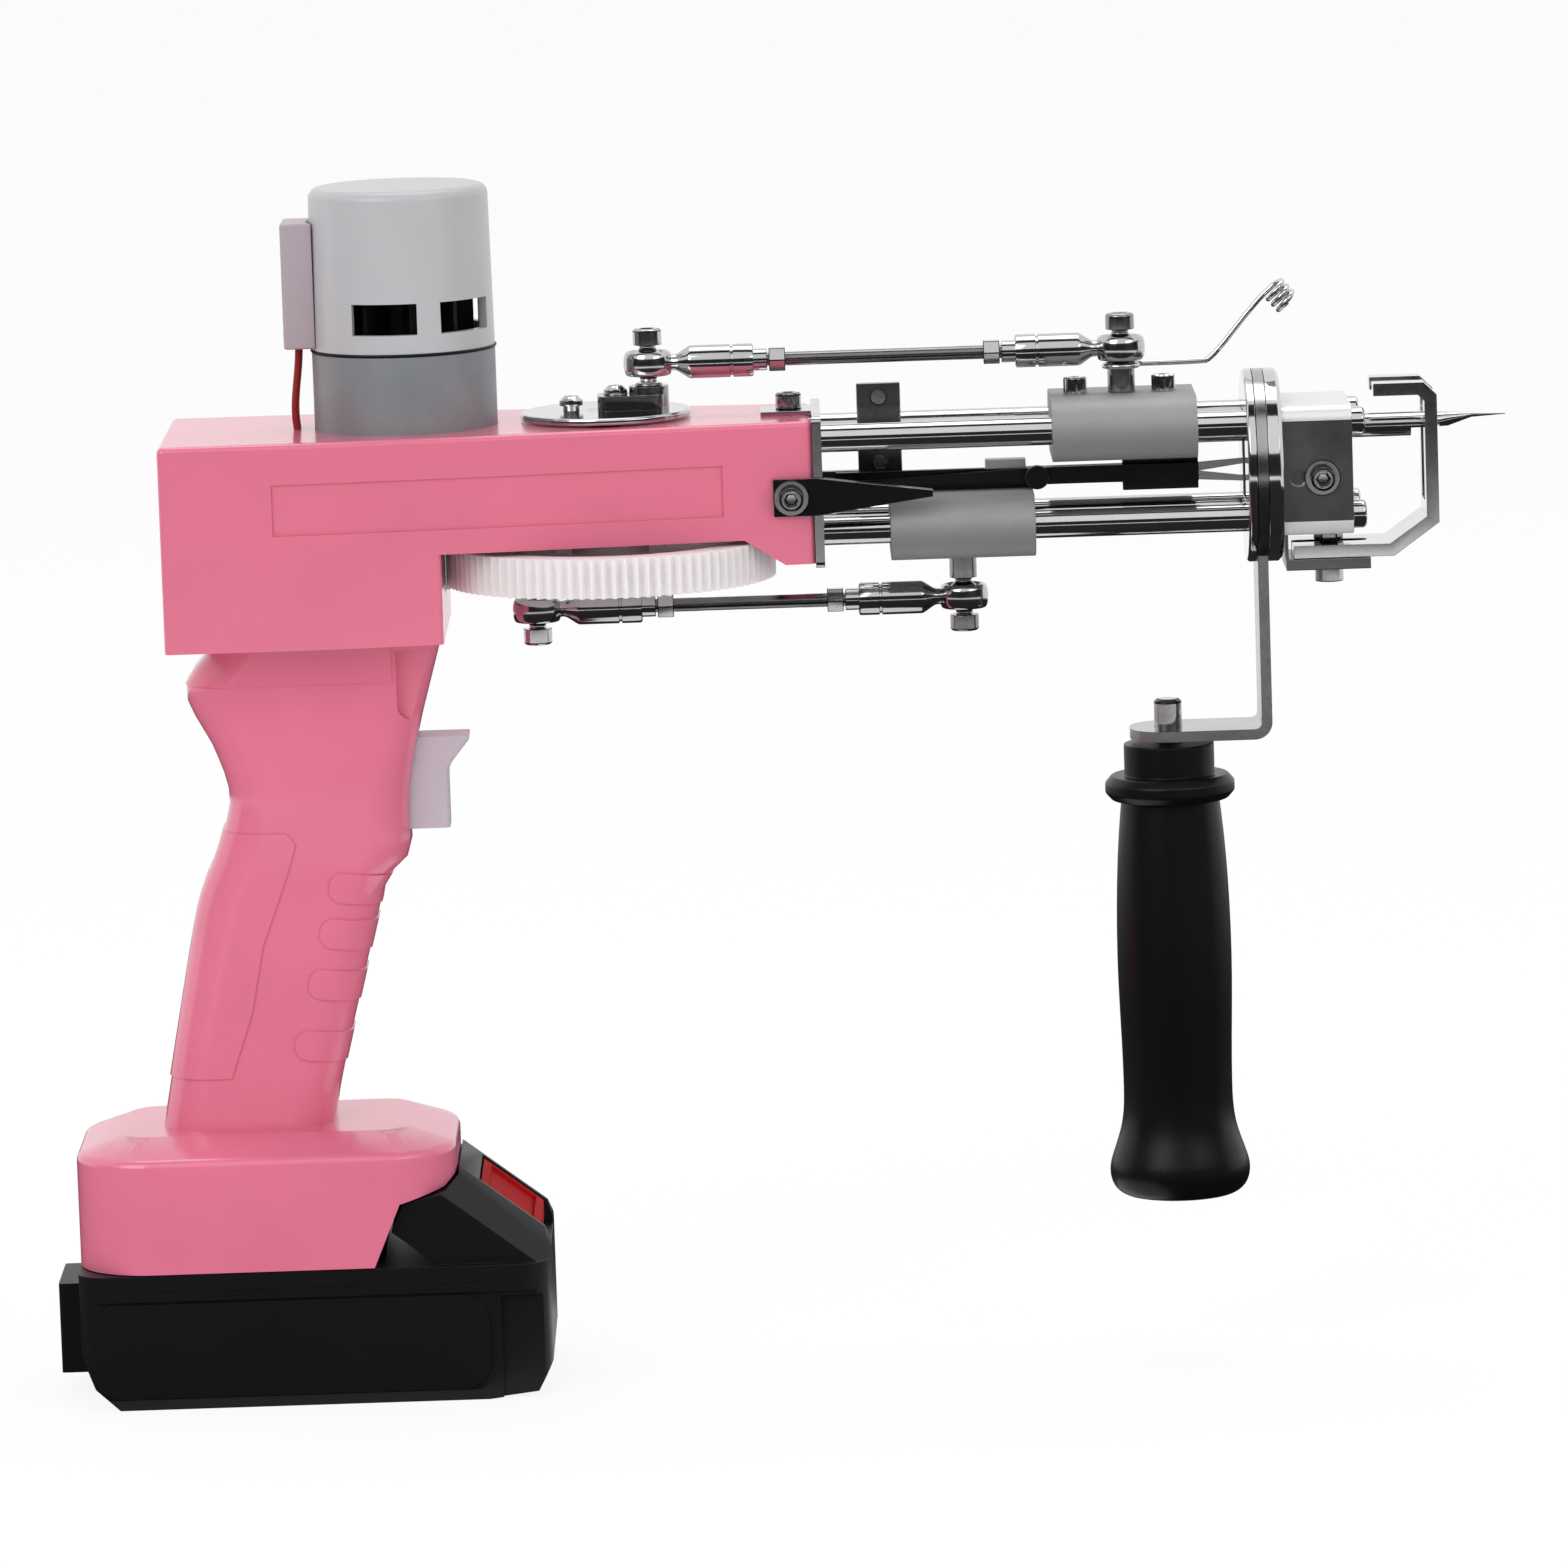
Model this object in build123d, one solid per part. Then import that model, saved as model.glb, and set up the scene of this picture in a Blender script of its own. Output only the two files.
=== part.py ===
"""Battery tufting tool with a needle carriage and a scissor carriage on four guide rods.

The origin is the centre of the battery's flat underside. X runs forward to the needle, Z is up,
and all lengths are millimetres.
"""
import math
import os

from build123d import *

os.makedirs("parts", exist_ok=True)

# Fits, walls and one overrun for all cuts
run_fit = 0.06
seat_gap = 0.1
move_gap = 0.35
overrun = 20.0
shell_wall = 2.5

# Motor and gear pair
motor_x = 37.5
motor_r = 26.0
motor_can_wall = 1.6
motor_can_bottom_z = 244.0
motor_can_length = 53.0
motor_can_top_z = motor_can_bottom_z + motor_can_length
motor_cap_gap = 0.4
motor_cap_height = 46.1
motor_cap_top_z = motor_can_top_z + motor_cap_gap + motor_cap_height
motor_cap_taper = 0.6
motor_cap_edge = 3.0
motor_cap_wall = 2.2
motor_shaft_r = 2.5
motor_plate_thickness = 2.4
magnet_thickness = 3.4
pole_count = 5
fan_blade_count = 9
lead_r = 1.1
pressure_angle = 20
tip_share = 0.95
root_share = 1.2
tooth_module = 1.0
gear_teeth = 92
pinion_teeth = 21
tooth_backlash = 0.28
centre_slack = 0.15
gear_bottom_z = 229.3
gear_thickness = 11.2
gear_web = 4.0
gear_rim = 6.0
gear_hub_r = 11.0
pinion_extra = 1.2
crank_x = motor_x + tooth_module * (gear_teeth + pinion_teeth) / 2 + centre_slack
gear_top_z = gear_bottom_z + gear_thickness

# Gear housing, a moulded box with an arm
housing_rear_x = -31.5
housing_top_z = 275.0
block_bottom_z = 216.5
step_x = 47.0
arm_bottom_z = 242.0
arm_front_x = 152.4
lug_length = 8.5
lug_bottom_z = 234.5
rear_half_width = 38.5
step_half_width = 34.5
front_half_width = 24.0
housing_edge = 1.8
side_line_depth = 0.6
side_line_height = 14.5
side_line_top = 11.5
boss_wall = 4.0

# Crank parts
disc_r = 24.2
disc_thickness = 2.0
disc_lift = 0.6
crank_shaft_r = 5.0
bearing_r = 11.0
bearing_width = 7.0
upper_throw = 12.5
lower_throw = 21.5
crank_block_length = 19.0
crank_block_width = 12.0
crank_block_height = 4.2
stud_collar_r = 3.9
rod_plane_gap = 0.3
pan_r = 3.4
pan_height = 2.6

# Connecting rods
upper_rod_z = 290.4
lower_rod_z = 221.0
eye_r = 7.0
eye_height = 7.6
ball_r = 4.75
ball_fit = 0.08
ball_stud_r = 2.4
sleeve_flats = 9.0
sleeve_length = 20.0
sleeve_start = 10.0
rod_neck_length = 4.0
rod_neck_r = 3.0
locknut_length = 4.6
locknut_share = 0.36
rod_wire_r = 1.9
cap_head_r = 4.1
cap_head_height = 4.6
cap_socket_r = 2.2

# Guide rods and carriages
guide_r = 4.0
guide_y = 14.0
guide_upper_z = 268.9
guide_lower_z = 242.45
guide_rear_depth = 9.0
guide_front_x = 308.7
carriage_length = 41.0
carriage_r = 8.9
needle_carriage_x = 220.3
scissor_carriage_x = 173.8
needle_ball_x = needle_carriage_x + carriage_length / 2
scissor_ball_x = scissor_carriage_x + carriage_length / 2
set_screw_r = 3.4
set_screw_head = 2.6
set_screw_shares = [0.18, 0.79]

# Front plate, flanges and head
front_plate_thickness = 2.6
front_plate_proud = 1.2
flange_x = 275.0
flange_z = (guide_upper_z + guide_lower_z) / 2
flange_r = 27.5
rear_flange_thickness = 2.5
strap_thickness = 3.0
front_flange_thickness = 4.2
spigot_r = 24.6
head_length = 19.8
head_half_width = 20.5
head_top_z = 274.2
head_bottom_z = 237.2
head_round = 4.4
passage_half_width = 8.0
passage_bottom_z = 246.2
passage_top_z = 271.6

# Needle
needle_r = 3.4
needle_bore_r = 2.4
needle_z = 266.0
needle_tube_end_x = 326.0
needle_slope_length = 14.0
needle_tip_length = 9.6
needle_tip_r = 0.7

# Handle, foot and trigger
handle_base_z = 71.0
handle_top_z = block_bottom_z - seat_gap
handle_rear_limit_x = -40.5
handle_front_limit_x = 45.8
handle_widest = 19.0
level_shares = [
    0, 0.089, 0.282, 0.461, 0.516, 0.564, 0.626, 0.695, 0.791, 0.846, 0.888, 0.915, 0.94, 0.96, 1,
]
rear_shares = [
    0, 0.029, 0.092, 0.154, 0.182, 0.219, 0.254, 0.275, 0.226, 0.176, 0.147, 0.15, 0.178, 0.212, 0.24,
]
front_shares = [
    0.574, 0.597, 0.678, 0.757, 0.782, 0.861, 0.868, 0.873, 0.903, 0.926, 0.946, 0.959, 0.971, 0.981, 1,
]
width_shares = [
    0.974, 0.926, 0.895, 0.905, 0.916, 0.921, 0.911, 0.905, 0.926, 0.947, 0.965, 0.977, 0.988, 0.993, 1,
]
handle_ring_count = 34
pad_shares = [0.19, 0.31, 0.41, 0.5]
pad_height = 0.55
pad_length = 15.0
pad_width = 8.6
handle_lean = 8.0
panel_level_shares = [0.14, 0.27, 0.4, 0.53, 0.6, 0.622]
panel_side_shares = [0.36, 0.41, 0.4, 0.43, 0.4, 0.34]
band_low_z = 204.0
niche_low_x = 32.4
niche_high_x = 42.6
niche_low_z = 192.4
niche_high_z = 212.8
niche_depth = 6.0
niche_round = 4.4
niche_wall = 1.2
screw_shank_r = 1.6
screw_boss_r = 4.2
screw_head_r = 3.0
boss_shares = [0.17, 0.55, 0.87]
handle_corner_share = 0.72
foot_rear_x = -64.0
foot_front_x = 44.6
foot_bottom_z = 39.3
foot_top_z = 76.5
foot_shoulder_z = 71.5
foot_crown_inset = 14.0
foot_corner = 22.0
foot_edge = 3.0
notch_low_x = 20.7
notch_mid_x = 28.4
notch_mid_z = 57.2
notch_far_x = 41.0
notch_far_z = 60.5
notch_high_z = 63.5
bay_half_width = 26.0
bay_top_z = 60.0
bay_rear_x = -54.0
rail_ledge = 4.0
rail_ledge_height = 5.0
rail_ledge_z = 41.5
trigger_front_x = 45.8
trigger_lip_x = 52.0
trigger_bottom_z = 160.0
trigger_top_z = 186.4
trigger_half_width = 6.5
trigger_travel = 6.0
trigger_rear_x = 19.7
trigger_lip_height = 9.0
trigger_lip_edge = 1.4
switch_length = 17.0
switch_height = 34.0
switch_half_width = 9.0

# Battery
cell_r = 10.5
cell_length = 70.0
cell_count = 5
cell_pitch = 21.6
battery_wall = 3.15
battery_half_width = cell_length / 2 + move_gap + battery_wall
battery_rear_x = -64.0
battery_side_front_x = 56.0
battery_nose_x = 70.3
battery_rear_round = 16.0
battery_split_z = 34.0
battery_top_z = 39.0
battery_corner = 8.0
battery_latch_length = 7.0
battery_latch_low_z = 7.0
battery_latch_high_z = 33.0
battery_latch_half_width = 15.0
side_panel_depth = 0.9
cheek_margin = 3.4
cheek_corner = 8.0
battery_rim = 2.6
nose_step = 2.5
foot_overhang = 0.5
foot_half_width = battery_half_width + foot_overhang
nose_half_width = battery_half_width - nose_step
nose_top_x = 45.0
nose_top_z = 64.6
nose_slope_end_x = 69.0
nose_slope_end_z = 46.2
nose_chamfer_side = 15.0
nose_chamfer_drop = 9.0
nose_bottom_x = 66.0
rail_block_rear_x = -45.0
rail_half_width = 20.0
rail_neck_z = 48.0
rail_top_z = 56.0
button_top_x = 51.0
button_half_width = 18.5
button_rim = 2.2
button_tray_depth = 1.5
button_depth = 6.0
button_sink = 0.7
button_travel = 2.5
contact_thickness = 0.8

# Side handle
strap_width = 25.0
strap_outer_bend = 5.0
strap_foot_z = 180.0
strap_foot_end_x = 240.5
grip_x = 251.5
grip_top_z = 176.8
grip_bottom_z = 46.5
grip_collar_r = 12.9
grip_collar_height = 9.0
grip_ring_r = 18.5
grip_ring_height = 7.0
grip_neck_r = 14.0
grip_belly_r = 16.3
grip_waist_r = 15.6
grip_flare_r = 20.0
bolt_r = 4.0
bolt_top_z = 189.5
bolt_depth = 60.0

# Presser foot, clamp and yarn guide
presser_thickness = 3.6
presser_width = 24.0
presser_slot = 11.0
presser_front_x = 329.5
presser_top_z = 279.0
presser_tine_x = 311.5
presser_knee_z = 239.0
presser_knee_x = 316.5
presser_base_z = 229.8
presser_base_x = 288.0
presser_travel = 6.0
clamp_plate_thickness = 3.2
clamp_plate_x = 285.8
clamp_plate_length = 24.0
clamp_screw_x = 298.5
clamp_screw_r = 2.5
guide_wire_r = 0.8
guide_wire_z = 285.4
guide_bend_x = 266.0
guide_eye_x = 286.5
guide_eye_z = 303.8
guide_eye_r = 3.2
guide_eye_turns = 3
guide_eye_pitch = 2.1

# Scissors, their bracket and the wedge plate
bar_thickness = 2.4
bar_gap = 0.15
bar_rear_x = 159.0
bar_front_x = 262.0
bar_low_z = 252.0
bar_high_z = 257.2
pivot_x = 216.0
pivot_z = 254.6
pivot_r = 2.0
clip_rear_x = 201.5
clip_front_x = 213.0
nose_rear_x = 240.5
block_top_z = 259.6
blade_length = 13.0
blade_tip_height = 1.6
bracket_rear_x = 165.5
bracket_front_x = 178.0
bracket_low_z = 252.2
bracket_top_z = 282.0
bracket_thickness = 1.6
bracket_y = 6.2
wedge_rear_x = 141.0
wedge_wide_end_x = 153.5
wedge_tip_x = 186.0
wedge_low_z = 248.4
wedge_high_z = 259.0
wedge_tip_z = 254.0
wedge_thickness = 1.2
wedge_flange = 4.0
wedge_screw_x = 146.0


def block(x0, x1, y0, y1, z0, z1):
    """Box between two corners."""
    return Pos((x0 + x1) / 2, (y0 + y1) / 2, (z0 + z1) / 2) * Box(x1 - x0, y1 - y0, z1 - z0)


def rod_x(x0, x1, y, z, r):
    """Round bar along X."""
    return Pos((x0 + x1) / 2, y, z) * Rot(0, 90, 0) * Cylinder(r, x1 - x0)


def rod_y(x, y0, y1, z, r):
    """Round bar along Y."""
    return Pos(x, (y0 + y1) / 2, z) * Rot(90, 0, 0) * Cylinder(r, y1 - y0)


def rod_z(x, y, z0, z1, r):
    """Round bar along Z."""
    return Pos(x, y, (z0 + z1) / 2) * Cylinder(r, z1 - z0)


def side_prism(points, y0, y1):
    """Outline in the XZ plane, given as x and z pairs, between two Y places."""
    outline = Polyline(*[(x, 0, z) for x, z in points], close=True)
    return Pos(0, y1, 0) * extrude(make_face(outline), amount=y1 - y0, dir=(0, -1, 0))


def plan_prism(points, z0, z1):
    """Outline in the XY plane, given as x and y pairs, between two heights."""
    outline = Polyline(*[(x, y, 0) for x, y in points], close=True)
    return Pos(0, 0, z0) * extrude(make_face(outline), amount=z1 - z0, dir=(0, 0, 1))


def lathe_z(x, y, points):
    """Turned piece about a vertical axis, from radius and height pairs."""
    outline = Polyline(*[(r, 0, z) for r, z in points], close=True)
    return Pos(x, y, 0) * revolve(make_face(outline), axis=Axis.Z)


def write(name, *pieces):
    """Write one sub-part, made of one or more separate solids."""
    solids = [solid for piece in pieces for solid in piece.solids()]
    export_step(Compound(children=solids) if len(solids) > 1 else solids[0], f"parts/{name}.step")


def cap_screw(head_r, head_height):
    """Socket cap screw's head, its underside at the origin."""
    head = Pos(0, 0, head_height / 2) * Cylinder(head_r, head_height)
    head = chamfer(head.edges().group_by(Axis.Z)[-1], head_height / 8)
    socket = Pos(0, 0, head_height) * extrude(RegularPolygon(head_r * 0.5, 6), amount=-head_height / 2)
    return head - socket


def taper_plan(inset):
    """Plan of the housing, drawn in by a wall."""
    return [
        (housing_rear_x + inset, -rear_half_width + inset),
        (motor_x - motor_r, -rear_half_width + inset),
        (step_x + motor_r / 2, -step_half_width + inset),
        (arm_front_x - inset, -front_half_width + inset),
        (arm_front_x - inset, front_half_width - inset),
        (step_x + motor_r / 2, step_half_width - inset),
        (motor_x - motor_r, rear_half_width - inset),
        (housing_rear_x + inset, rear_half_width - inset),
    ]


def side_half_width(x):
    """Half width of the housing's tapered arm at a place along it."""
    taper_start_x = step_x + motor_r / 2
    share = (x - taper_start_x) / (arm_front_x - taper_start_x)
    return step_half_width + (front_half_width - step_half_width) * share


def gear_wheel(teeth, clearance_share):
    """Spur gear section with straight-flanked teeth, thinned by the backlash."""
    pitch_r = tooth_module * teeth / 2
    tip_r = pitch_r + tooth_module * tip_share
    root_r = pitch_r - tooth_module * root_share
    half_pitch = math.pi * tooth_module / 4 - tooth_backlash / 2
    slope = math.tan(math.radians(pressure_angle))
    points = []
    for tooth in range(teeth):
        middle = 2 * math.pi * (tooth + clearance_share) / teeth
        for radius, side in ((root_r, -1), (tip_r, -1), (tip_r, 1), (root_r, 1)):
            half = (half_pitch - (radius - pitch_r) * slope) / radius
            points.append((radius * math.cos(middle + side * half), radius * math.sin(middle + side * half)))
    return make_face(Polyline(*points, close=True))


# Gear housing: outer box, cavities, motor mouth, crank boss and gear window
plan = plan_prism(taper_plan(0), lug_bottom_z - housing_top_z + arm_bottom_z - motor_r, housing_top_z)
side = side_prism(
    [
        (housing_rear_x, block_bottom_z),
        (step_x, block_bottom_z),
        (step_x, arm_bottom_z),
        (arm_front_x - lug_length - side_line_top, arm_bottom_z),
        (arm_front_x - lug_length, lug_bottom_z),
        (arm_front_x, lug_bottom_z),
        (arm_front_x, housing_top_z),
        (housing_rear_x, housing_top_z),
    ],
    -rear_half_width - overrun,
    rear_half_width + overrun,
)
housing_outer = plan & side
edge_list = housing_outer.edges().filter_by(Axis.Z) + housing_outer.edges().group_by(Axis.Z)[-1]
housing = fillet(edge_list, housing_edge)
block_room = plan_prism(taper_plan(shell_wall), block_bottom_z + shell_wall, housing_top_z - shell_wall)
block_room &= block(
    housing_rear_x + shell_wall, step_x - shell_wall,
    -rear_half_width, rear_half_width, block_bottom_z + shell_wall, housing_top_z - shell_wall,
)
arm_room = plan_prism(taper_plan(shell_wall), arm_bottom_z - overrun, housing_top_z - shell_wall)
arm_room &= block(
    step_x + shell_wall, arm_front_x - lug_length,
    -rear_half_width, rear_half_width, arm_bottom_z - overrun, housing_top_z - shell_wall,
)
boss = rod_z(crank_x, 0, gear_top_z + move_gap, housing_top_z, bearing_r + boss_wall)
gear_room_r = tooth_module * gear_teeth / 2 + 2 * tooth_module
gear_window = rod_z(crank_x, 0, gear_bottom_z - move_gap, gear_top_z + move_gap, gear_room_r)
pinion_room_r = tooth_module * pinion_teeth / 2 + 2 * tooth_module
pinion_window = rod_z(
    motor_x, 0, gear_bottom_z - pinion_extra - 2 * move_gap, gear_top_z + 2 * move_gap, pinion_room_r
)
housing -= block_room
housing -= arm_room
housing += boss
housing -= rod_z(motor_x, 0, motor_can_bottom_z - seat_gap, housing_top_z + overrun, motor_r + seat_gap)
housing -= rod_z(crank_x, 0, gear_top_z, housing_top_z + overrun, crank_shaft_r + tooth_module)
housing -= rod_z(crank_x, 0, housing_top_z - bearing_width, housing_top_z + overrun, bearing_r + run_fit)
lower_seat_top_z = gear_top_z + move_gap + bearing_width
housing -= rod_z(crank_x, 0, gear_top_z - overrun, lower_seat_top_z, bearing_r + run_fit)
housing -= gear_window
housing -= pinion_window
for sign in (-1, 1):
    for z in (guide_upper_z, guide_lower_z):
        seat_x = arm_front_x - guide_rear_depth
        housing += rod_x(seat_x, arm_front_x, sign * guide_y, z, guide_r + boss_wall / 2)
        housing -= rod_x(seat_x, arm_front_x + overrun, sign * guide_y, z, guide_r + seat_gap)
skin = plan_prism(taper_plan(-side_line_depth), block_bottom_z, housing_top_z)
skin -= plan_prism(taper_plan(side_line_depth), block_bottom_z, housing_top_z)
for sign in (-1, 1):
    housing -= skin & block(
        step_x - 1.8 * motor_r, arm_front_x - 3 * lug_length, sign * rear_half_width - rear_half_width / 2,
        sign * rear_half_width + rear_half_width / 2, housing_top_z - side_line_top - side_line_height,
        housing_top_z - side_line_top,
    )
write("gear_housing", housing)

# Motor: plate inside the box, can, end cap with vent windows, terminal cover
motor_plate = block(
    motor_x - motor_r - shell_wall, step_x - shell_wall - seat_gap,
    -motor_r - shell_wall, motor_r + shell_wall,
    motor_can_bottom_z - seat_gap - motor_plate_thickness, motor_can_bottom_z - seat_gap,
)
motor_plate -= rod_z(motor_x, 0, gear_bottom_z, motor_can_bottom_z, motor_shaft_r * 3.4)
write("motor_plate", motor_plate)
can = rod_z(motor_x, 0, motor_can_bottom_z, motor_can_top_z, motor_r)
can = fillet(can.edges().group_by(Axis.Z)[0], motor_can_wall)
can -= rod_z(
    motor_x, 0, motor_can_bottom_z + motor_can_wall, motor_can_top_z + overrun, motor_r - motor_can_wall
)
can += rod_z(motor_x, 0, motor_can_bottom_z, motor_can_bottom_z + 3 * motor_can_wall, motor_shaft_r * 2.6)
can -= rod_z(motor_x, 0, motor_can_bottom_z - overrun, motor_can_top_z, motor_shaft_r + run_fit)
write("motor_can", can)
magnet_r = motor_r - motor_can_wall - seat_gap
magnet_low_z = motor_can_bottom_z + 6 * motor_can_wall
magnet_high_z = motor_can_top_z - 2 * motor_can_wall
magnet_ring = rod_z(motor_x, 0, magnet_low_z, magnet_high_z, magnet_r)
magnet_ring -= rod_z(motor_x, 0, motor_can_bottom_z, motor_can_top_z, magnet_r - magnet_thickness)
magnet_ring -= block(
    motor_x - motor_r / 3, motor_x + motor_r / 3, -motor_r, motor_r, motor_can_bottom_z, motor_can_top_z
)
write("motor_magnets", magnet_ring)
cap_bottom_z = motor_can_top_z + motor_cap_gap
cap_top_r = motor_r - motor_cap_taper
cap = lathe_z(
    motor_x, 0,
    [(0, cap_bottom_z), (motor_r, cap_bottom_z), (cap_top_r, motor_cap_top_z), (0, motor_cap_top_z)],
)
cap = fillet(cap.edges().group_by(Axis.Z)[-1], motor_cap_edge)
cap_roof_z = motor_cap_top_z - motor_cap_wall
cap_room_r = motor_r - motor_cap_wall - motor_cap_taper
cap_seat_low_z = motor_cap_top_z - 4 * motor_cap_wall
cap_seat_high_z = motor_cap_top_z - 1.5 * motor_cap_wall
cap -= rod_z(motor_x, 0, cap_bottom_z - overrun, cap_roof_z, cap_room_r)
cap += rod_z(motor_x, 0, cap_seat_low_z, cap_roof_z, motor_shaft_r * 2.6)
cap -= rod_z(motor_x, 0, cap_seat_low_z, cap_seat_high_z, motor_shaft_r + run_fit)
vent_bottom_z = cap_bottom_z + motor_r * 0.22
vent_height = motor_r * 0.34
vent_width = motor_r * 0.72
for turn in (-100, -42, 48, 100):
    slot = block(
        motor_r / 2, motor_r + overrun, -vent_width / 2, vent_width / 2,
        vent_bottom_z, vent_bottom_z + vent_height,
    )
    cap -= Pos(motor_x, 0, 0) * Rot(0, 0, turn) * slot
write("motor_end_cap", cap)
cover_x = motor_x - motor_r - motor_cap_wall * 3.4
cover_half_width = motor_r * 0.36
cover = block(
    cover_x, motor_x - motor_r * 0.9, -cover_half_width, cover_half_width,
    cap_bottom_z + motor_cap_wall / 2, motor_cap_top_z - motor_r * 0.36,
)
cover = fillet(cover.edges().filter_by(Axis.Z).group_by(Axis.X)[0], motor_cap_wall / 2)
cover -= rod_z(motor_x, 0, cap_bottom_z - overrun, motor_cap_top_z + overrun, motor_r + seat_gap)
write("terminal_cover", cover)

# Motor leads, held between the terminal cover and the housing
lead_top_z = cap_bottom_z + motor_cap_wall / 2
lead_x = (cover_x + motor_x - motor_r) / 2
leads = []
for sign in (-1, 1):
    lead_y = sign * lead_r * 1.4
    path = Polyline((lead_x, lead_y, lead_top_z), (lead_x - lead_r, lead_y, housing_top_z))
    section = Plane(origin=path @ 0, z_dir=path % 0) * Circle(lead_r)
    leads.append(sweep(section, path=path) & block(0, motor_x, -motor_r, motor_r, housing_top_z, lead_top_z))
write("motor_leads", *leads)

# Motor armature, shaft and pinion, which turn together
shaft_top_z = cap_seat_high_z - seat_gap
shaft_bottom_z = gear_bottom_z - pinion_extra
write("motor_shaft", rod_z(motor_x, 0, shaft_bottom_z, shaft_top_z, motor_shaft_r))
armature_r = magnet_r - magnet_thickness - 2 * move_gap
armature_low_z = motor_can_bottom_z + 7 * motor_can_wall
armature_high_z = motor_can_top_z - 3 * motor_can_wall
armature = rod_z(motor_x, 0, armature_low_z, armature_high_z, armature_r)
armature -= rod_z(motor_x, 0, armature_low_z, armature_high_z, motor_shaft_r)
pole_gap = armature_r * 0.2
for pole in range(pole_count):
    groove = block(
        armature_r * 0.4, armature_r + overrun, -pole_gap / 2, pole_gap / 2, armature_low_z, armature_high_z
    )
    armature -= Pos(motor_x, 0, 0) * Rot(0, 0, 360 / pole_count * pole) * groove
write("motor_armature", armature)
fan_low_z = cap_bottom_z + motor_can_wall
fan_high_z = vent_bottom_z + vent_height
fan_hub_r = armature_r * 0.4
fan = rod_z(motor_x, 0, fan_low_z, fan_high_z, fan_hub_r)
for blade in range(fan_blade_count):
    vane = block(fan_hub_r / 2, armature_r, -motor_can_wall / 2, motor_can_wall / 2, fan_low_z, fan_high_z)
    fan += Pos(motor_x, 0, 0) * Rot(0, 0, 360 / fan_blade_count * blade) * vane
fan -= rod_z(motor_x, 0, fan_low_z, fan_high_z, motor_shaft_r)
write("cooling_fan", fan)
pinion_low_z = gear_bottom_z - pinion_extra
pinion_high_z = gear_top_z - pinion_extra / 2
pinion = extrude(gear_wheel(pinion_teeth, 0), amount=pinion_high_z - pinion_low_z)
pinion = Pos(motor_x, 0, pinion_low_z) * pinion
pinion -= rod_z(motor_x, 0, pinion_low_z, pinion_high_z, motor_shaft_r)
write("motor_pinion", pinion)

# Drive gear: a tooth gap faces the motor, so it starts in mesh with a pinion tooth
gear_phase_share = (gear_teeth + 1) % 2 / 2
gear = extrude(gear_wheel(gear_teeth, gear_phase_share), amount=gear_thickness)
gear = Pos(crank_x, 0, gear_bottom_z) * gear
gear_root_r = tooth_module * (gear_teeth / 2 - root_share)
web_low_z = gear_bottom_z + (gear_thickness - gear_web) / 2
web_high_z = gear_bottom_z + (gear_thickness + gear_web) / 2
for low_z, high_z in ((gear_bottom_z - overrun, web_low_z), (web_high_z, gear_top_z)):
    dish = rod_z(crank_x, 0, low_z, high_z, gear_root_r - gear_rim)
    dish -= rod_z(crank_x, 0, low_z, high_z, gear_hub_r)
    dish -= rod_z(crank_x - lower_throw, 0, low_z, high_z, gear_rim)
    gear -= dish
gear -= rod_z(crank_x, 0, gear_bottom_z, gear_top_z, crank_shaft_r)
pin_hole_depth = gear_thickness * 0.7
gear -= rod_z(crank_x - lower_throw, 0, gear_bottom_z, gear_bottom_z + pin_hole_depth, ball_stud_r)
write("drive_gear", gear)

# Crank shaft, its two bearings and the disc on top of the housing
disc_low_z = housing_top_z + disc_lift
disc_high_z = disc_low_z + disc_thickness
write("crank_shaft", rod_z(crank_x, 0, gear_bottom_z, disc_high_z, crank_shaft_r))
disc = rod_z(crank_x, 0, disc_low_z, disc_high_z, disc_r)
disc = chamfer(disc.edges().group_by(Axis.Z)[-1], disc_thickness / 4)
disc -= rod_z(crank_x, 0, disc_low_z, disc_high_z, crank_shaft_r)
write("crank_disc", disc)


def bearing(low_z, high_z):
    """Sealed ball bearing with shallow rings marked on its faces."""
    ring = rod_z(crank_x, 0, low_z, high_z, bearing_r)
    ring -= rod_z(crank_x, 0, low_z, high_z, crank_shaft_r + run_fit)
    for face_z in (low_z - overrun, high_z - seat_gap * 3):
        groove = rod_z(crank_x, 0, face_z, face_z + overrun + seat_gap * 3, bearing_r * 0.84)
        groove -= rod_z(crank_x, 0, face_z, face_z + 2 * overrun, bearing_r * 0.64)
        ring -= groove
    return ring


upper_bearing = bearing(housing_top_z - bearing_width, housing_top_z - seat_gap)
write("crank_bearings", upper_bearing, bearing(gear_top_z + move_gap, lower_seat_top_z))

# Upper crank: slotted block clamped on the disc, two pan screws and the ball stud's collar
upper_plane_z = upper_rod_z - sleeve_flats / 2 / math.cos(math.pi / 6) - rod_plane_gap
block_high_z = disc_high_z + crank_block_height
boss_high_z = block_high_z + crank_block_height * 0.55
pin_x = crank_x + upper_throw
crank_block = block(
    pin_x + crank_block_width * 0.36 - crank_block_length, pin_x + crank_block_width * 0.36,
    -crank_block_width / 2, crank_block_width / 2, disc_high_z, block_high_z,
)
crank_block = fillet(crank_block.edges().filter_by(Axis.Z), crank_block_width / 4)
clamp_x = pin_x - crank_block_length * 0.5
clamp_slot = extrude(SlotOverall(crank_block_width * 0.55, set_screw_r * 1.1), amount=crank_block_height)
crank_block -= Pos(clamp_x, 0, disc_high_z) * clamp_slot
crank_block += rod_z(pin_x, 0, disc_high_z, boss_high_z, stud_collar_r * 1.45)
write("crank_block", crank_block)


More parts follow.
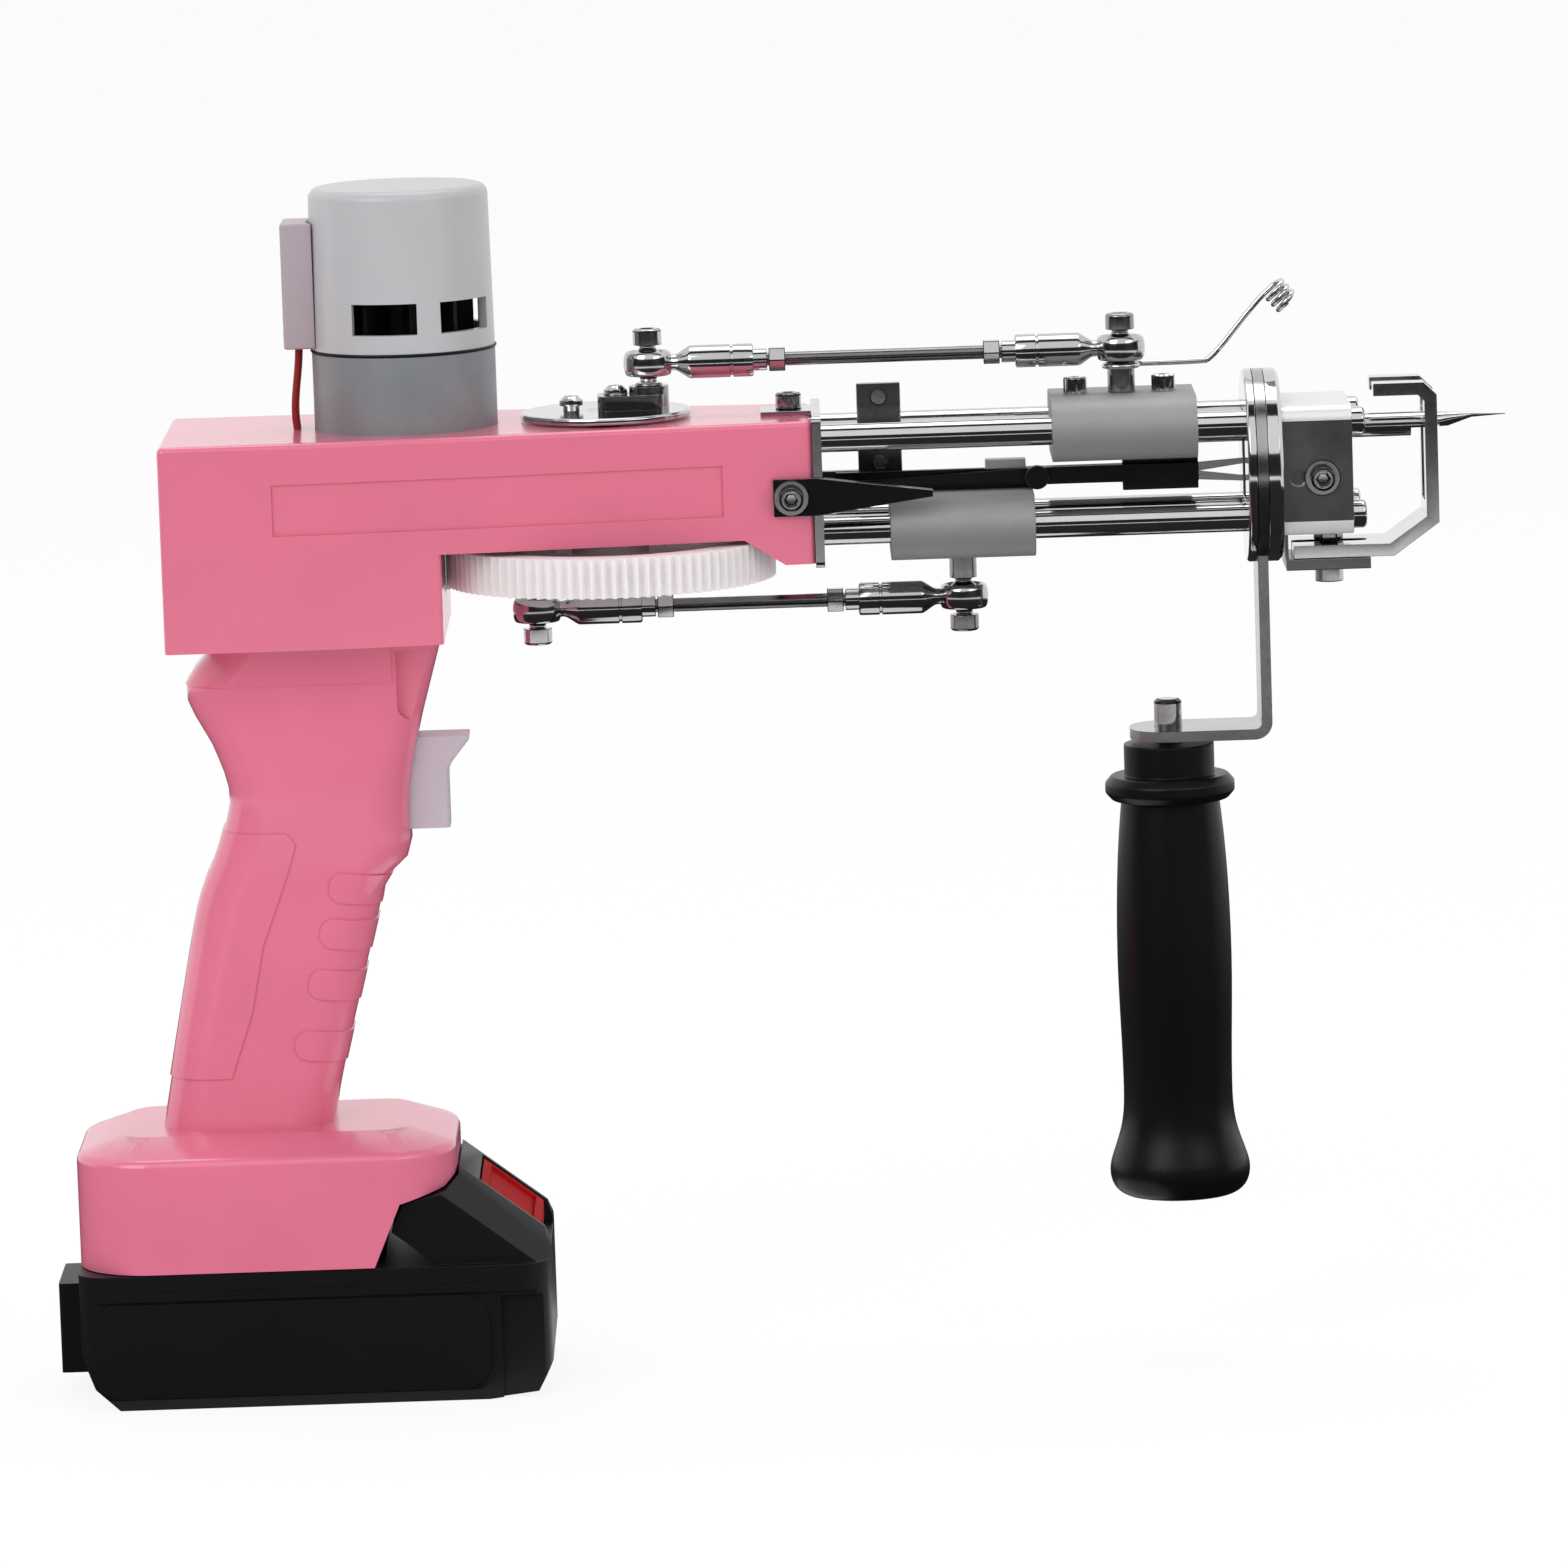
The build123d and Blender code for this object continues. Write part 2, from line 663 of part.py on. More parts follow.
def pan_screw(x, seat_z):
    """Pan-head screw with a cross recess, standing on its seat."""
    middle_z = seat_z + pan_height / 2
    top_z = seat_z + pan_height
    profile = [(0, seat_z), (pan_r, seat_z), (pan_r, middle_z), (pan_r * 0.6, top_z), (0, top_z)]
    head = lathe_z(x, 0, profile)
    for turn in (0, 90):
        recess = block(-pan_r / 2, pan_r / 2, -pan_r / 8, pan_r / 8, middle_z, top_z)
        head -= Pos(x, 0, 0) * Rot(0, 0, turn) * recess
    return head


disc_screw_x = crank_x - disc_r * 0.4
disc_screw = pan_screw(disc_screw_x, disc_high_z + pan_height * 0.6)
disc_screw += rod_z(disc_screw_x, 0, disc_high_z, disc_high_z + pan_height * 0.6, pan_r * 0.7)
write("crank_screws", disc_screw, pan_screw(clamp_x, block_high_z))
upper_stud = rod_z(pin_x, 0, boss_high_z, upper_plane_z, stud_collar_r)
upper_stud = chamfer(upper_stud.edges().group_by(Axis.Z)[-1], seat_gap * 3)

# Lower crank stud, screwed into the gear
lower_plane_z = lower_rod_z + sleeve_flats / 2 / math.cos(math.pi / 6) + rod_plane_gap
lower_pin_x = crank_x - lower_throw
lower_stud = rod_z(lower_pin_x, 0, lower_plane_z, gear_bottom_z, stud_collar_r)
lower_stud += rod_z(lower_pin_x, 0, gear_bottom_z, gear_bottom_z + pin_hole_depth, ball_stud_r)
write("crank_studs", upper_stud, lower_stud)


def rod_end():
    """Ball-joint rod end at the origin, its neck and hexagonal sleeve along +X."""
    eye = Cylinder(eye_r, eye_height)
    eye = fillet(eye.edges(), eye_height * 0.38)
    neck_end = sleeve_start + sleeve_length * 0.25
    neck = Pos((eye_r * 0.6 + neck_end) / 2, 0, 0) * Rot(0, 90, 0) * Cone(
        eye_height * 0.36, sleeve_flats / 2, neck_end - eye_r * 0.6
    )
    sleeve_end = sleeve_start + sleeve_length
    hexagon = Plane.YZ * RegularPolygon(sleeve_flats / 2, 6, major_radius=False)
    sleeve = Pos(sleeve_start, 0, 0) * extrude(hexagon, amount=sleeve_length)
    corner_r = sleeve_flats / 2 / math.cos(math.pi / 6)
    sleeve &= rod_x(sleeve_start, sleeve_end, 0, 0, corner_r * 0.97)
    groove_x = sleeve_start + sleeve_length * 0.68
    ring_groove = rod_x(groove_x, groove_x + move_gap * 2, 0, 0, sleeve_flats)
    sleeve -= ring_groove - rod_x(groove_x, groove_x + move_gap * 2, 0, 0, sleeve_flats / 2 - move_gap)
    body = eye + neck + sleeve
    body += rod_x(sleeve_end, sleeve_end + rod_neck_length, 0, 0, rod_neck_r)
    body -= Sphere(ball_r + ball_fit)
    body -= rod_x(sleeve_end - sleeve_length / 2, sleeve_end + overrun, 0, 0, rod_wire_r)
    return body


def locknut():
    """Thin hexagon nut on the rod's thread, its near face at the origin."""
    hexagon = Plane.YZ * RegularPolygon(sleeve_flats * locknut_share, 6, major_radius=False)
    return extrude(hexagon, amount=locknut_length) - rod_x(-overrun, overrun, 0, 0, rod_wire_r)


def free_ball(z, way):
    """Ball, spacer and cap screw that the rod keeps at its open crank end."""
    pin = Sphere(ball_r)
    pin += rod_z(0, 0, -eye_height * 0.7, eye_height * 0.7, ball_stud_r)
    head_z = eye_height * 0.7
    head = rod_z(0, 0, head_z, head_z + cap_head_height, cap_head_r)
    head = chamfer(head.edges().group_by(Axis.Z)[-1], cap_head_height / 8)
    socket = extrude(RegularPolygon(cap_socket_r, 6), amount=cap_head_height)
    head -= Pos(0, 0, head_z + cap_head_height / 2) * socket
    pin += head
    return Pos(0, 0, z) * (Rot(0, 0, 0) if way > 0 else Rot(180, 0, 0)) * pin


def rod_set(prefix, rear_x, front_x, z, way):
    """Connecting rod with two rod ends, two locknuts and the ball at its crank end."""
    rear_end = Pos(rear_x, 0, z) * rod_end()
    front_end = Pos(front_x, 0, z) * Rot(0, 0, 180) * rod_end()
    write(f"{prefix}_rod_ends", rear_end, front_end)
    inner = sleeve_start + sleeve_length + rod_neck_length
    reach = inner - sleeve_length / 2
    nuts = Pos(rear_x + inner + move_gap, 0, z) * locknut()
    far_nuts = Pos(front_x - inner - locknut_length - move_gap, 0, z) * locknut()
    write(f"{prefix}_rod_locknuts", nuts, far_nuts)
    write(f"{prefix}_rod", rod_x(rear_x + reach, front_x - reach, 0, z, rod_wire_r))
    write(f"{prefix}_rod_ball", Pos(rear_x, 0, 0) * free_ball(z, way))


rod_set("upper", pin_x, needle_ball_x, upper_rod_z, 1)
rod_set("lower", lower_pin_x, scissor_ball_x, lower_rod_z, -1)


def carriage(start_x, z):
    """Aluminium slide block, rounded over the two guide rods it runs on."""
    outline = SlotCenterToCenter(2 * guide_y, 2 * carriage_r)
    body = Pos(start_x, 0, z) * extrude(Plane.YZ * outline, amount=carriage_length)
    for sign in (-1, 1):
        body -= rod_x(start_x, start_x + carriage_length, sign * guide_y, z, guide_r + run_fit)
    return body


def fixed_ball(base_z, z, way):
    """Ball stud that stands on a carriage, with its cap screw head."""
    pin = Sphere(ball_r)
    foot_z = -abs(z - base_z)
    pin += rod_z(0, 0, foot_z, -eye_height * 0.7, stud_collar_r)
    pin += rod_z(0, 0, -eye_height * 0.7, eye_height * 0.7, ball_stud_r)
    head_z = eye_height * 0.7
    head = rod_z(0, 0, head_z, head_z + cap_head_height, cap_head_r)
    head = chamfer(head.edges().group_by(Axis.Z)[-1], cap_head_height / 8)
    socket = extrude(RegularPolygon(cap_socket_r, 6), amount=cap_head_height)
    head -= Pos(0, 0, head_z + cap_head_height / 2) * socket
    return Pos(0, 0, z) * (Rot(0, 0, 0) if way > 0 else Rot(180, 0, 0)) * (pin + head)


# Needle carriage, its set screws, ball stud and the needle clamped in it
needle_carriage = carriage(needle_carriage_x, guide_upper_z)
needle_carriage -= rod_x(
    needle_carriage_x, needle_carriage_x + carriage_length, 0, needle_z, needle_r + seat_gap / 2
)
set_screws = []
for share in set_screw_shares:
    x = needle_carriage_x + carriage_length * share
    top_z = guide_upper_z + carriage_r
    screw = rod_z(x, 0, top_z, top_z + set_screw_head, set_screw_r)
    socket = extrude(RegularPolygon(set_screw_r / 2, 6), amount=overrun)
    screw -= Pos(x, 0, top_z + set_screw_head / 2) * socket
    screw += rod_z(x, 0, needle_z + needle_r, top_z, set_screw_r * 0.7)
    needle_carriage -= rod_z(x, 0, needle_z, top_z, set_screw_r * 0.7)
    set_screws.append(screw - rod_x(x - overrun, x + overrun, 0, needle_z, needle_r))
write("needle_carriage", needle_carriage)
write("needle_set_screws", *set_screws)
needle_ball = Pos(needle_ball_x, 0, 0) * fixed_ball(guide_upper_z + carriage_r, upper_rod_z, 1)
write("needle_ball_stud", needle_ball)
needle = rod_x(needle_carriage_x, needle_tube_end_x, 0, needle_z, needle_r)
slope_end_x = needle_tube_end_x + needle_slope_length
tip_z = needle_z + needle_r - needle_tip_r * 2
slope = Pos(needle_tube_end_x, 0, needle_z) * (Plane.YZ * Circle(needle_r))
slope_end = Pos(slope_end_x, 0, tip_z) * (Plane.YZ * Circle(needle_tip_r))
point = Pos(slope_end_x + needle_tip_length, 0, tip_z) * (Plane.YZ * Circle(needle_tip_r / 5))
needle += loft([slope, slope_end]) + loft([slope_end, point])
needle -= rod_x(needle_carriage_x, needle_tube_end_x + needle_slope_length / 3, 0, needle_z, needle_bore_r)
eyelet = block(
    needle_tube_end_x - needle_r, slope_end_x - needle_slope_length / 2,
    -overrun, overrun, needle_z - needle_r - overrun, needle_z - needle_r / 4,
)
write("needle", needle - eyelet)

# Scissor carriage and its ball stud
scissor_carriage = carriage(scissor_carriage_x, guide_lower_z)
bump_r = carriage_r * 0.3
bump_x = scissor_carriage_x + carriage_length * 0.2
bump_z = guide_lower_z - carriage_r
scissor_carriage += rod_z(bump_x, 0, bump_z - bump_r / 3, bump_z + bump_r, bump_r)
write("scissor_carriage", scissor_carriage)
scissor_ball = Pos(scissor_ball_x, 0, 0) * fixed_ball(guide_lower_z - carriage_r, lower_rod_z, -1)
write("scissor_ball_stud", scissor_ball)

# Guide rods, clamped between the housing and the head
guide_rear_x = arm_front_x - guide_rear_depth
rods = []
for sign in (-1, 1):
    for z in (guide_upper_z, guide_lower_z):
        bar = rod_x(guide_rear_x, guide_front_x, sign * guide_y, z, guide_r)
        rods.append(chamfer(bar.edges().group_by(Axis.X)[-1], guide_r / 6))
write("guide_rods", *rods)


def drill_guides(body, low_x, high_x):
    """Holes for the four guide rods."""
    for sign in (-1, 1):
        for z in (guide_upper_z, guide_lower_z):
            body -= rod_x(low_x - overrun, high_x + overrun, sign * guide_y, z, guide_r + seat_gap)
    return body


# Steel front plate of the housing, screwed on over the guide rods
plate_low_x = arm_front_x
plate_high_x = arm_front_x + front_plate_thickness
front_plate = block(
    plate_low_x, plate_high_x, -front_half_width - front_plate_proud, front_half_width + front_plate_proud,
    lug_bottom_z - front_plate_proud, housing_top_z + front_plate_proud,
)
front_plate = fillet(front_plate.edges().filter_by(Axis.X), housing_edge)
clamp_top_x = arm_front_x - guide_rear_depth * 0.7
front_plate += block(
    clamp_top_x - guide_r * 2, plate_high_x, -guide_r * 2, guide_r * 2,
    housing_top_z, housing_top_z + wedge_thickness,
)
write("front_plate", drill_guides(front_plate, plate_low_x, plate_high_x))

# Top clamp screw over the upper guide rods, on a thin clip
top_screw = cap_screw(cap_head_r * 0.9, cap_head_height)
top_screw = Pos(clamp_top_x, 0, housing_top_z + wedge_thickness) * top_screw

# Flange stack: rear flange with the spigot, and the front flange that holds the head
spigot_end_x = flange_x + rear_flange_thickness + strap_thickness + 3 * seat_gap
passage = block(
    flange_x - overrun, flange_x + overrun * 3, -passage_half_width, passage_half_width,
    passage_bottom_z, passage_top_z,
)
rear_flange = rod_x(flange_x, flange_x + rear_flange_thickness, 0, flange_z, flange_r)
rear_flange = chamfer(rear_flange.edges().group_by(Axis.X)[0], rear_flange_thickness / 4)
rear_flange += rod_x(flange_x, spigot_end_x, 0, flange_z, spigot_r)
write("rear_flange", drill_guides(rear_flange - passage, flange_x, spigot_end_x))
front_flange_end_x = spigot_end_x + front_flange_thickness
front_flange = rod_x(spigot_end_x, front_flange_end_x, 0, flange_z, flange_r)
front_flange = chamfer(front_flange.edges().group_by(Axis.X)[-1], front_flange_thickness / 4)
write("front_flange", drill_guides(front_flange - passage, spigot_end_x, front_flange_end_x))
head_end_x = front_flange_end_x + head_length
head = block(front_flange_end_x, head_end_x, -head_half_width, head_half_width, head_bottom_z, head_top_z)
head = fillet(head.edges().filter_by(Axis.X), head_round)
head_screw_x = front_flange_end_x + head_length * 0.56
keyhole_x = front_flange_end_x + head_length * 0.22
head_screw_z = flange_z - guide_r * 0.45
keyhole_floor_y = -head_half_width + guide_r / 2
head -= rod_y(keyhole_x, -head_half_width - overrun, keyhole_floor_y, head_screw_z, guide_r * 0.6)
write("head_block", drill_guides(head - passage, front_flange_end_x, head_end_x))


def side_screw(x, y, z):
    """Cap screw with a washer, seated on a side that faces -Y."""
    washer = rod_y(x, y - wedge_thickness, y, z, cap_head_r * 1.25)
    screw = cap_screw(cap_head_r * 0.85, cap_head_height * 0.8)
    return washer, Pos(x, y - wedge_thickness, z) * Rot(90, 0, 0) * screw


head_washer, head_screw = side_screw(head_screw_x, -head_half_width, head_screw_z)
wedge_y = -side_half_width(wedge_rear_x) - seat_gap - wedge_thickness
wedge_screw_z = (wedge_low_z + wedge_high_z) / 2
wedge_washer, wedge_screw = side_screw(wedge_screw_x, wedge_y, wedge_screw_z)

# Wedge plate: folded sheet that tapers to a point, on a thin pad against the housing
wedge_outline = [
    (wedge_rear_x, wedge_low_z),
    (wedge_wide_end_x, wedge_low_z),
    (wedge_tip_x, wedge_tip_z - wedge_thickness),
    (wedge_tip_x, wedge_tip_z + wedge_thickness / 2),
    (wedge_wide_end_x, wedge_high_z),
    (wedge_rear_x, wedge_high_z),
]
wedge = side_prism(wedge_outline, wedge_y, wedge_y + wedge_thickness)
wedge += side_prism(
    [
        (wedge_wide_end_x, wedge_high_z),
        (wedge_tip_x, wedge_tip_z + wedge_thickness / 2),
        (wedge_tip_x, wedge_tip_z - wedge_thickness / 2),
        (wedge_wide_end_x, wedge_high_z - wedge_thickness),
    ],
    wedge_y, wedge_y + wedge_flange,
)
wedge -= block(
    arm_front_x - overrun, plate_high_x + move_gap, wedge_y + wedge_thickness, overrun,
    wedge_low_z, wedge_high_z,
)
wedge_pad = block(
    wedge_rear_x, arm_front_x - 3 * seat_gap, wedge_y + wedge_thickness, -front_half_width + overrun,
    wedge_low_z + wedge_thickness, wedge_high_z - wedge_thickness,
)
wedge_pad -= housing_outer
wedge_pad -= housing
wedge_pad -= block(
    wedge_rear_x - overrun, arm_front_x + overrun, -front_half_width + shell_wall, 2 * overrun,
    wedge_low_z, wedge_high_z,
)
write("wedge_plate", wedge, wedge_pad)

# Bracket plate between the upper rods, on an arm from the front plate
bracket = side_prism(
    [
        (plate_high_x, bracket_low_z),
        (bracket_front_x, bracket_low_z),
        (bracket_front_x, bracket_top_z),
        (bracket_rear_x, bracket_top_z),
        (bracket_rear_x, bar_high_z),
        (plate_high_x, bar_high_z),
    ],
    bracket_y, bracket_y + bracket_thickness,
)
write("tail_bracket", bracket)
bracket_mid_x = (bracket_rear_x + bracket_front_x) / 2
bracket_screws = []
for z in (bracket_top_z - guide_r, bar_high_z + guide_r / 2):
    button = rod_y(bracket_mid_x, bracket_y - set_screw_head / 2, bracket_y, z, set_screw_r * 0.7)
    bracket_screws.append(button)

# Scissors: fixed bar on the carriage, moving bar on the pivot, and their blades
carriage_top_z = guide_lower_z + carriage_r
fixed_y = bar_gap / 2
fixed_bar = block(bar_rear_x, bar_front_x, fixed_y, fixed_y + bar_thickness, bar_low_z, bar_high_z)
fixed_bar += block(
    scissor_carriage_x + move_gap, scissor_carriage_x + carriage_length - move_gap,
    fixed_y, fixed_y + bar_thickness * 1.8, carriage_top_z, bar_low_z,
)
thick_y = fixed_y + bar_thickness * 1.8
fixed_bar += block(clip_rear_x, clip_front_x, fixed_y, thick_y, pivot_z, block_top_z)
fixed_bar += block(nose_rear_x, bar_front_x, fixed_y, thick_y, bar_low_z - bar_thickness, block_top_z)
fixed_bar -= rod_y(pivot_x, -overrun, overrun, pivot_z, pivot_r)
write("fixed_scissor_bar", fixed_bar)
pivot = rod_y(pivot_x, -fixed_y - bar_thickness, fixed_y + bar_thickness, pivot_z, pivot_r)
pivot += rod_y(
    pivot_x, -fixed_y - 2 * bar_thickness, -fixed_y - bar_thickness - seat_gap / 2, pivot_z, pivot_r * 1.7
)
write("scissor_pivot", pivot)
moving_bar = side_prism(
    [
        (bar_rear_x + overrun / 4, bar_low_z + bar_thickness / 2),
        (bar_front_x, bar_low_z),
        (bar_front_x, bar_high_z),
        (pivot_x, bar_high_z),
        (bar_rear_x + overrun / 4, bar_high_z - bar_thickness),
    ],
    -fixed_y - bar_thickness, -fixed_y,
)
moving_bar -= rod_y(pivot_x, -overrun, overrun, pivot_z, pivot_r + run_fit)
write("moving_scissor_bar", moving_bar)
blade_end_x = bar_front_x + blade_length
fixed_blade = side_prism(
    [
        (bar_front_x, bar_low_z),
        (blade_end_x, bar_low_z - blade_tip_height / 2),
        (blade_end_x, bar_low_z + blade_tip_height / 2),
        (bar_front_x, bar_low_z + blade_tip_height * 1.6),
    ],
    fixed_y, fixed_y + bar_thickness / 2,
)
write("fixed_blade", fixed_blade)
moving_blade = side_prism(
    [
        (bar_front_x, bar_high_z - blade_tip_height * 1.6),
        (blade_end_x, bar_high_z - blade_tip_height / 2),
        (blade_end_x, bar_high_z + blade_tip_height / 2),
        (bar_front_x, bar_high_z),
    ],
    -fixed_y - bar_thickness / 2, -fixed_y,
)
write("moving_blade", moving_blade)

# Yarn guide: flat eyelet round the ball stud, wire bent up, and a coiled eye of three turns
rise = math.atan2(guide_eye_z - guide_wire_z, guide_eye_x - guide_bend_x)
across = Vector(math.sin(rise), 0, -math.cos(rise))
eye_centre = Vector(guide_eye_x, 0, guide_eye_z)
coil_length = guide_eye_turns * guide_eye_pitch
coil_plane = Plane(origin=eye_centre - across * (coil_length / 2), x_dir=(0, 1, 0), z_dir=across)
coil = coil_plane * Helix(guide_eye_pitch, coil_length, guide_eye_r)
coil_start = coil @ 0
coil_way = coil % 0
wire_path = FilletPolyline(
    Vector(needle_ball_x + guide_eye_r, coil_start.Y, guide_wire_z),
    Vector(guide_bend_x, coil_start.Y, guide_wire_z),
    coil_start - coil_way * guide_eye_r,
    coil_start,
    radius=guide_wire_r * 3,
)
wire = sweep(Plane(origin=wire_path @ 0, z_dir=wire_path % 0) * Circle(guide_wire_r), path=wire_path)
turns = sweep(Plane(origin=coil_start, z_dir=coil_way) * Circle(guide_wire_r), path=coil)
eyelet_height = guide_wire_r * 1.5
eyelet_outer = Cylinder(stud_collar_r + 2 * guide_wire_r, eyelet_height)
eyelet_ring = eyelet_outer - Cylinder(stud_collar_r + seat_gap, eyelet_height)
eyelet_ring = Pos(needle_ball_x, 0, guide_wire_z) * eyelet_ring
print("yarn guide coil: gap between turns", round(guide_eye_pitch - 2 * guide_wire_r, 2), "mm")
write("yarn_guide", eyelet_ring + wire, turns)


def eased(shares, at):
    """Share at one level, on a smooth curve through the shares of the listed levels."""
    low = max(i for i in range(len(level_shares) - 1) if level_shares[i] <= at)
    span = level_shares[low + 1] - level_shares[low]
    step = (at - level_shares[low]) / span
    slopes = []
    for i in (low, low + 1):
        before = max(i - 1, 0)
        after = min(i + 1, len(shares) - 1)
        slopes.append((shares[after] - shares[before]) / (level_shares[after] - level_shares[before]) * span)
    rise = step * step * (3 - 2 * step)
    start_pull = step * (1 - step) * (1 - step) * slopes[0]
    end_pull = step * step * (step - 1) * slopes[1]
    return shares[low] + rise * (shares[low + 1] - shares[low]) + start_pull + end_pull


def handle_edge_x(shares, at):
    """Rear or front place of the grip at one level."""
    return handle_rear_limit_x + (handle_front_limit_x - handle_rear_limit_x) * eased(shares, at)


def handle_section(at, inset):
    """One cross-section of the grip at its level share, drawn in by a wall."""
    rear = handle_edge_x(rear_shares, at) + inset
    front = handle_edge_x(front_shares, at) - inset
    half = handle_widest * eased(width_shares, at) - inset
    corner = half * handle_corner_share
    height = handle_base_z + (handle_top_z - handle_base_z) * at
    return Pos((rear + front) / 2, 0, height) * RectangleRounded(front - rear, 2 * half, corner)


def grip_body(inset):
    """Whole grip, drawn in by a wall or swollen by a pad's height."""
    shares = [i / handle_ring_count for i in range(handle_ring_count + 1)]
    return loft([handle_section(at, inset) for at in shares], ruled=True)


def foot_plan(inset, z):
    """Rounded plan of the foot at one height, drawn in all round."""
    length = foot_front_x - foot_rear_x - 2 * inset
    plan_face = RectangleRounded(length, 2 * (foot_half_width - inset), foot_corner - inset)
    return Pos((foot_front_x + foot_rear_x) / 2, 0, z) * plan_face


def foot_body(inset, low_z):
    """Upright wall of the foot with its low sloping crown, drawn in by a wall."""
    wall = extrude(foot_plan(inset, low_z), amount=foot_shoulder_z - inset - low_z)
    crown_low = foot_plan(inset, foot_shoulder_z - inset)
    crown_high = foot_plan(inset + foot_crown_inset, foot_top_z - inset)
    return wall + loft([crown_low, crown_high], ruled=True)


# Grip: smooth outline, with finger pads, a palm panel and a band at the top that stand proud
room = handle_widest + overrun
grip_outer = grip_body(0)
grip_swollen = grip_body(-pad_height)
raised = Part()
for share in pad_shares:
    pad_z = handle_base_z + (handle_top_z - handle_base_z) * share
    pad_front_x = handle_edge_x(front_shares, share)
    pad = block(
        pad_front_x - pad_length, pad_front_x + overrun, -room, room,
        pad_z - pad_width / 2, pad_z + pad_width / 2,
    )
    pad = fillet(pad.edges().filter_by(Axis.Y).group_by(Axis.X)[0], pad_width / 2.2)
    raised += Pos(pad_front_x, 0, pad_z) * Rot(0, handle_lean, 0) * Pos(-pad_front_x, 0, -pad_z) * pad
panel_points = []
for share, side_share in zip(panel_level_shares, panel_side_shares):
    rear = handle_edge_x(rear_shares, share)
    front = handle_edge_x(front_shares, share)
    panel_z = handle_base_z + (handle_top_z - handle_base_z) * share
    panel_points.append((rear + (front - rear) * side_share, panel_z))
panel_low_z = panel_points[0][1]
panel_high_z = panel_points[-1][1]
panel_points += [(handle_rear_limit_x - overrun, panel_high_z), (handle_rear_limit_x - overrun, panel_low_z)]
raised += side_prism(panel_points, -room, room)
raised += block(
    handle_rear_limit_x, niche_low_x - niche_wall, -room, room,
    band_low_z, handle_top_z,
)
grip_outer += grip_swollen & raised

# Handle and foot, moulded as two halves that meet in the middle plane
grip_inner = grip_body(shell_wall)
niche_cuts = []
for sign in (-1, 1):
    floor_y = sign * (handle_widest - niche_depth)
    cut = block(
        niche_low_x, niche_high_x, min(floor_y, sign * room), max(floor_y, sign * room),
        niche_low_z, niche_high_z,
    )
    niche_cuts.append(fillet(cut.edges().filter_by(Axis.Y).group_by(Axis.Z)[0], niche_round))
grip_inner -= block(niche_low_x - shell_wall, room * 2, -room, room, niche_low_z - shell_wall, handle_top_z)
foot_outer = foot_body(0, foot_bottom_z)
shoulder_low_z = foot_shoulder_z - run_fit
shoulder_edges = foot_outer.edges().filter_by_position(Axis.Z, shoulder_low_z, foot_shoulder_z + run_fit)
foot_outer = fillet(shoulder_edges, foot_edge)
foot_inner = foot_body(shell_wall, bay_top_z + shell_wall)
notch = side_prism(
    [
        (notch_low_x, foot_bottom_z - overrun),
        (notch_low_x, foot_bottom_z),
        (notch_mid_x, notch_mid_z),
        (notch_far_x, notch_far_z),
        (foot_front_x, notch_high_z),
        (foot_front_x + overrun, notch_high_z),
        (foot_front_x + overrun, foot_bottom_z - overrun),
    ],
    -foot_half_width - overrun, foot_half_width + overrun,
)
bay = block(bay_rear_x, foot_front_x, -bay_half_width, bay_half_width, foot_bottom_z - overrun, bay_top_z)
handle = grip_outer + foot_outer - notch
handle -= grip_inner
handle -= foot_inner
base_half_width = handle_widest * width_shares[0]
handle -= block(
    handle_edge_x(rear_shares, 0) + shell_wall * 2, handle_edge_x(front_shares, 0) - shell_wall * 2,
    -base_half_width / 2, base_half_width / 2, bay_top_z - shell_wall, foot_top_z,
)
handle -= bay
for cut in niche_cuts:
    handle -= cut
for sign in (-1, 1):
    rail_y = sign * (bay_half_width + rail_half_width + move_gap) / 2
    rail_half = (bay_half_width - rail_half_width - move_gap) / 2
    handle += block(
        bay_rear_x, notch_low_x - shell_wall, rail_y - rail_half, rail_y + rail_half,
        rail_ledge_z, rail_ledge_z + rail_ledge_height,
    )
trigger_mouth = block(
    trigger_rear_x - trigger_travel - 2 * shell_wall, trigger_front_x + overrun,
    -trigger_half_width - move_gap, trigger_half_width + move_gap,
    trigger_bottom_z - move_gap, trigger_top_z + move_gap,
)
handle -= trigger_mouth
far_seat_y = handle_widest * min(width_shares) - shell_wall
boss_reach_y = far_seat_y + shell_wall * 2 / 3
boss_places = []
for share in boss_shares:
    middle_x = (handle_edge_x(rear_shares, share) + handle_edge_x(front_shares, share)) / 2
    boss_places.append((middle_x, handle_base_z + (handle_top_z - handle_base_z) * share))
for x, z in boss_places:
    handle += rod_y(x, -boss_reach_y, boss_reach_y, z, screw_boss_r)
    handle -= rod_y(x, -far_seat_y / 2, handle_widest + overrun, z, screw_shank_r + seat_gap)
    handle -= rod_y(x, far_seat_y, handle_widest + overrun, z, screw_head_r + seat_gap)
half_room = 2 * (foot_half_width + overrun)
near_side = block(-half_room, half_room, -half_room, 0, 0, housing_top_z)
far_side = block(-half_room, half_room, 0, half_room, 0, housing_top_z)
write("right_handle", handle & near_side)
write("left_handle", handle & far_side)
handle_screws = []
for x, z in boss_places:
    screw = rod_y(x, far_seat_y, far_seat_y + screw_shank_r, z, screw_head_r)
    screw += rod_y(x, -far_seat_y / 2 + seat_gap * 3, far_seat_y, z, screw_shank_r)
    handle_screws.append(screw)

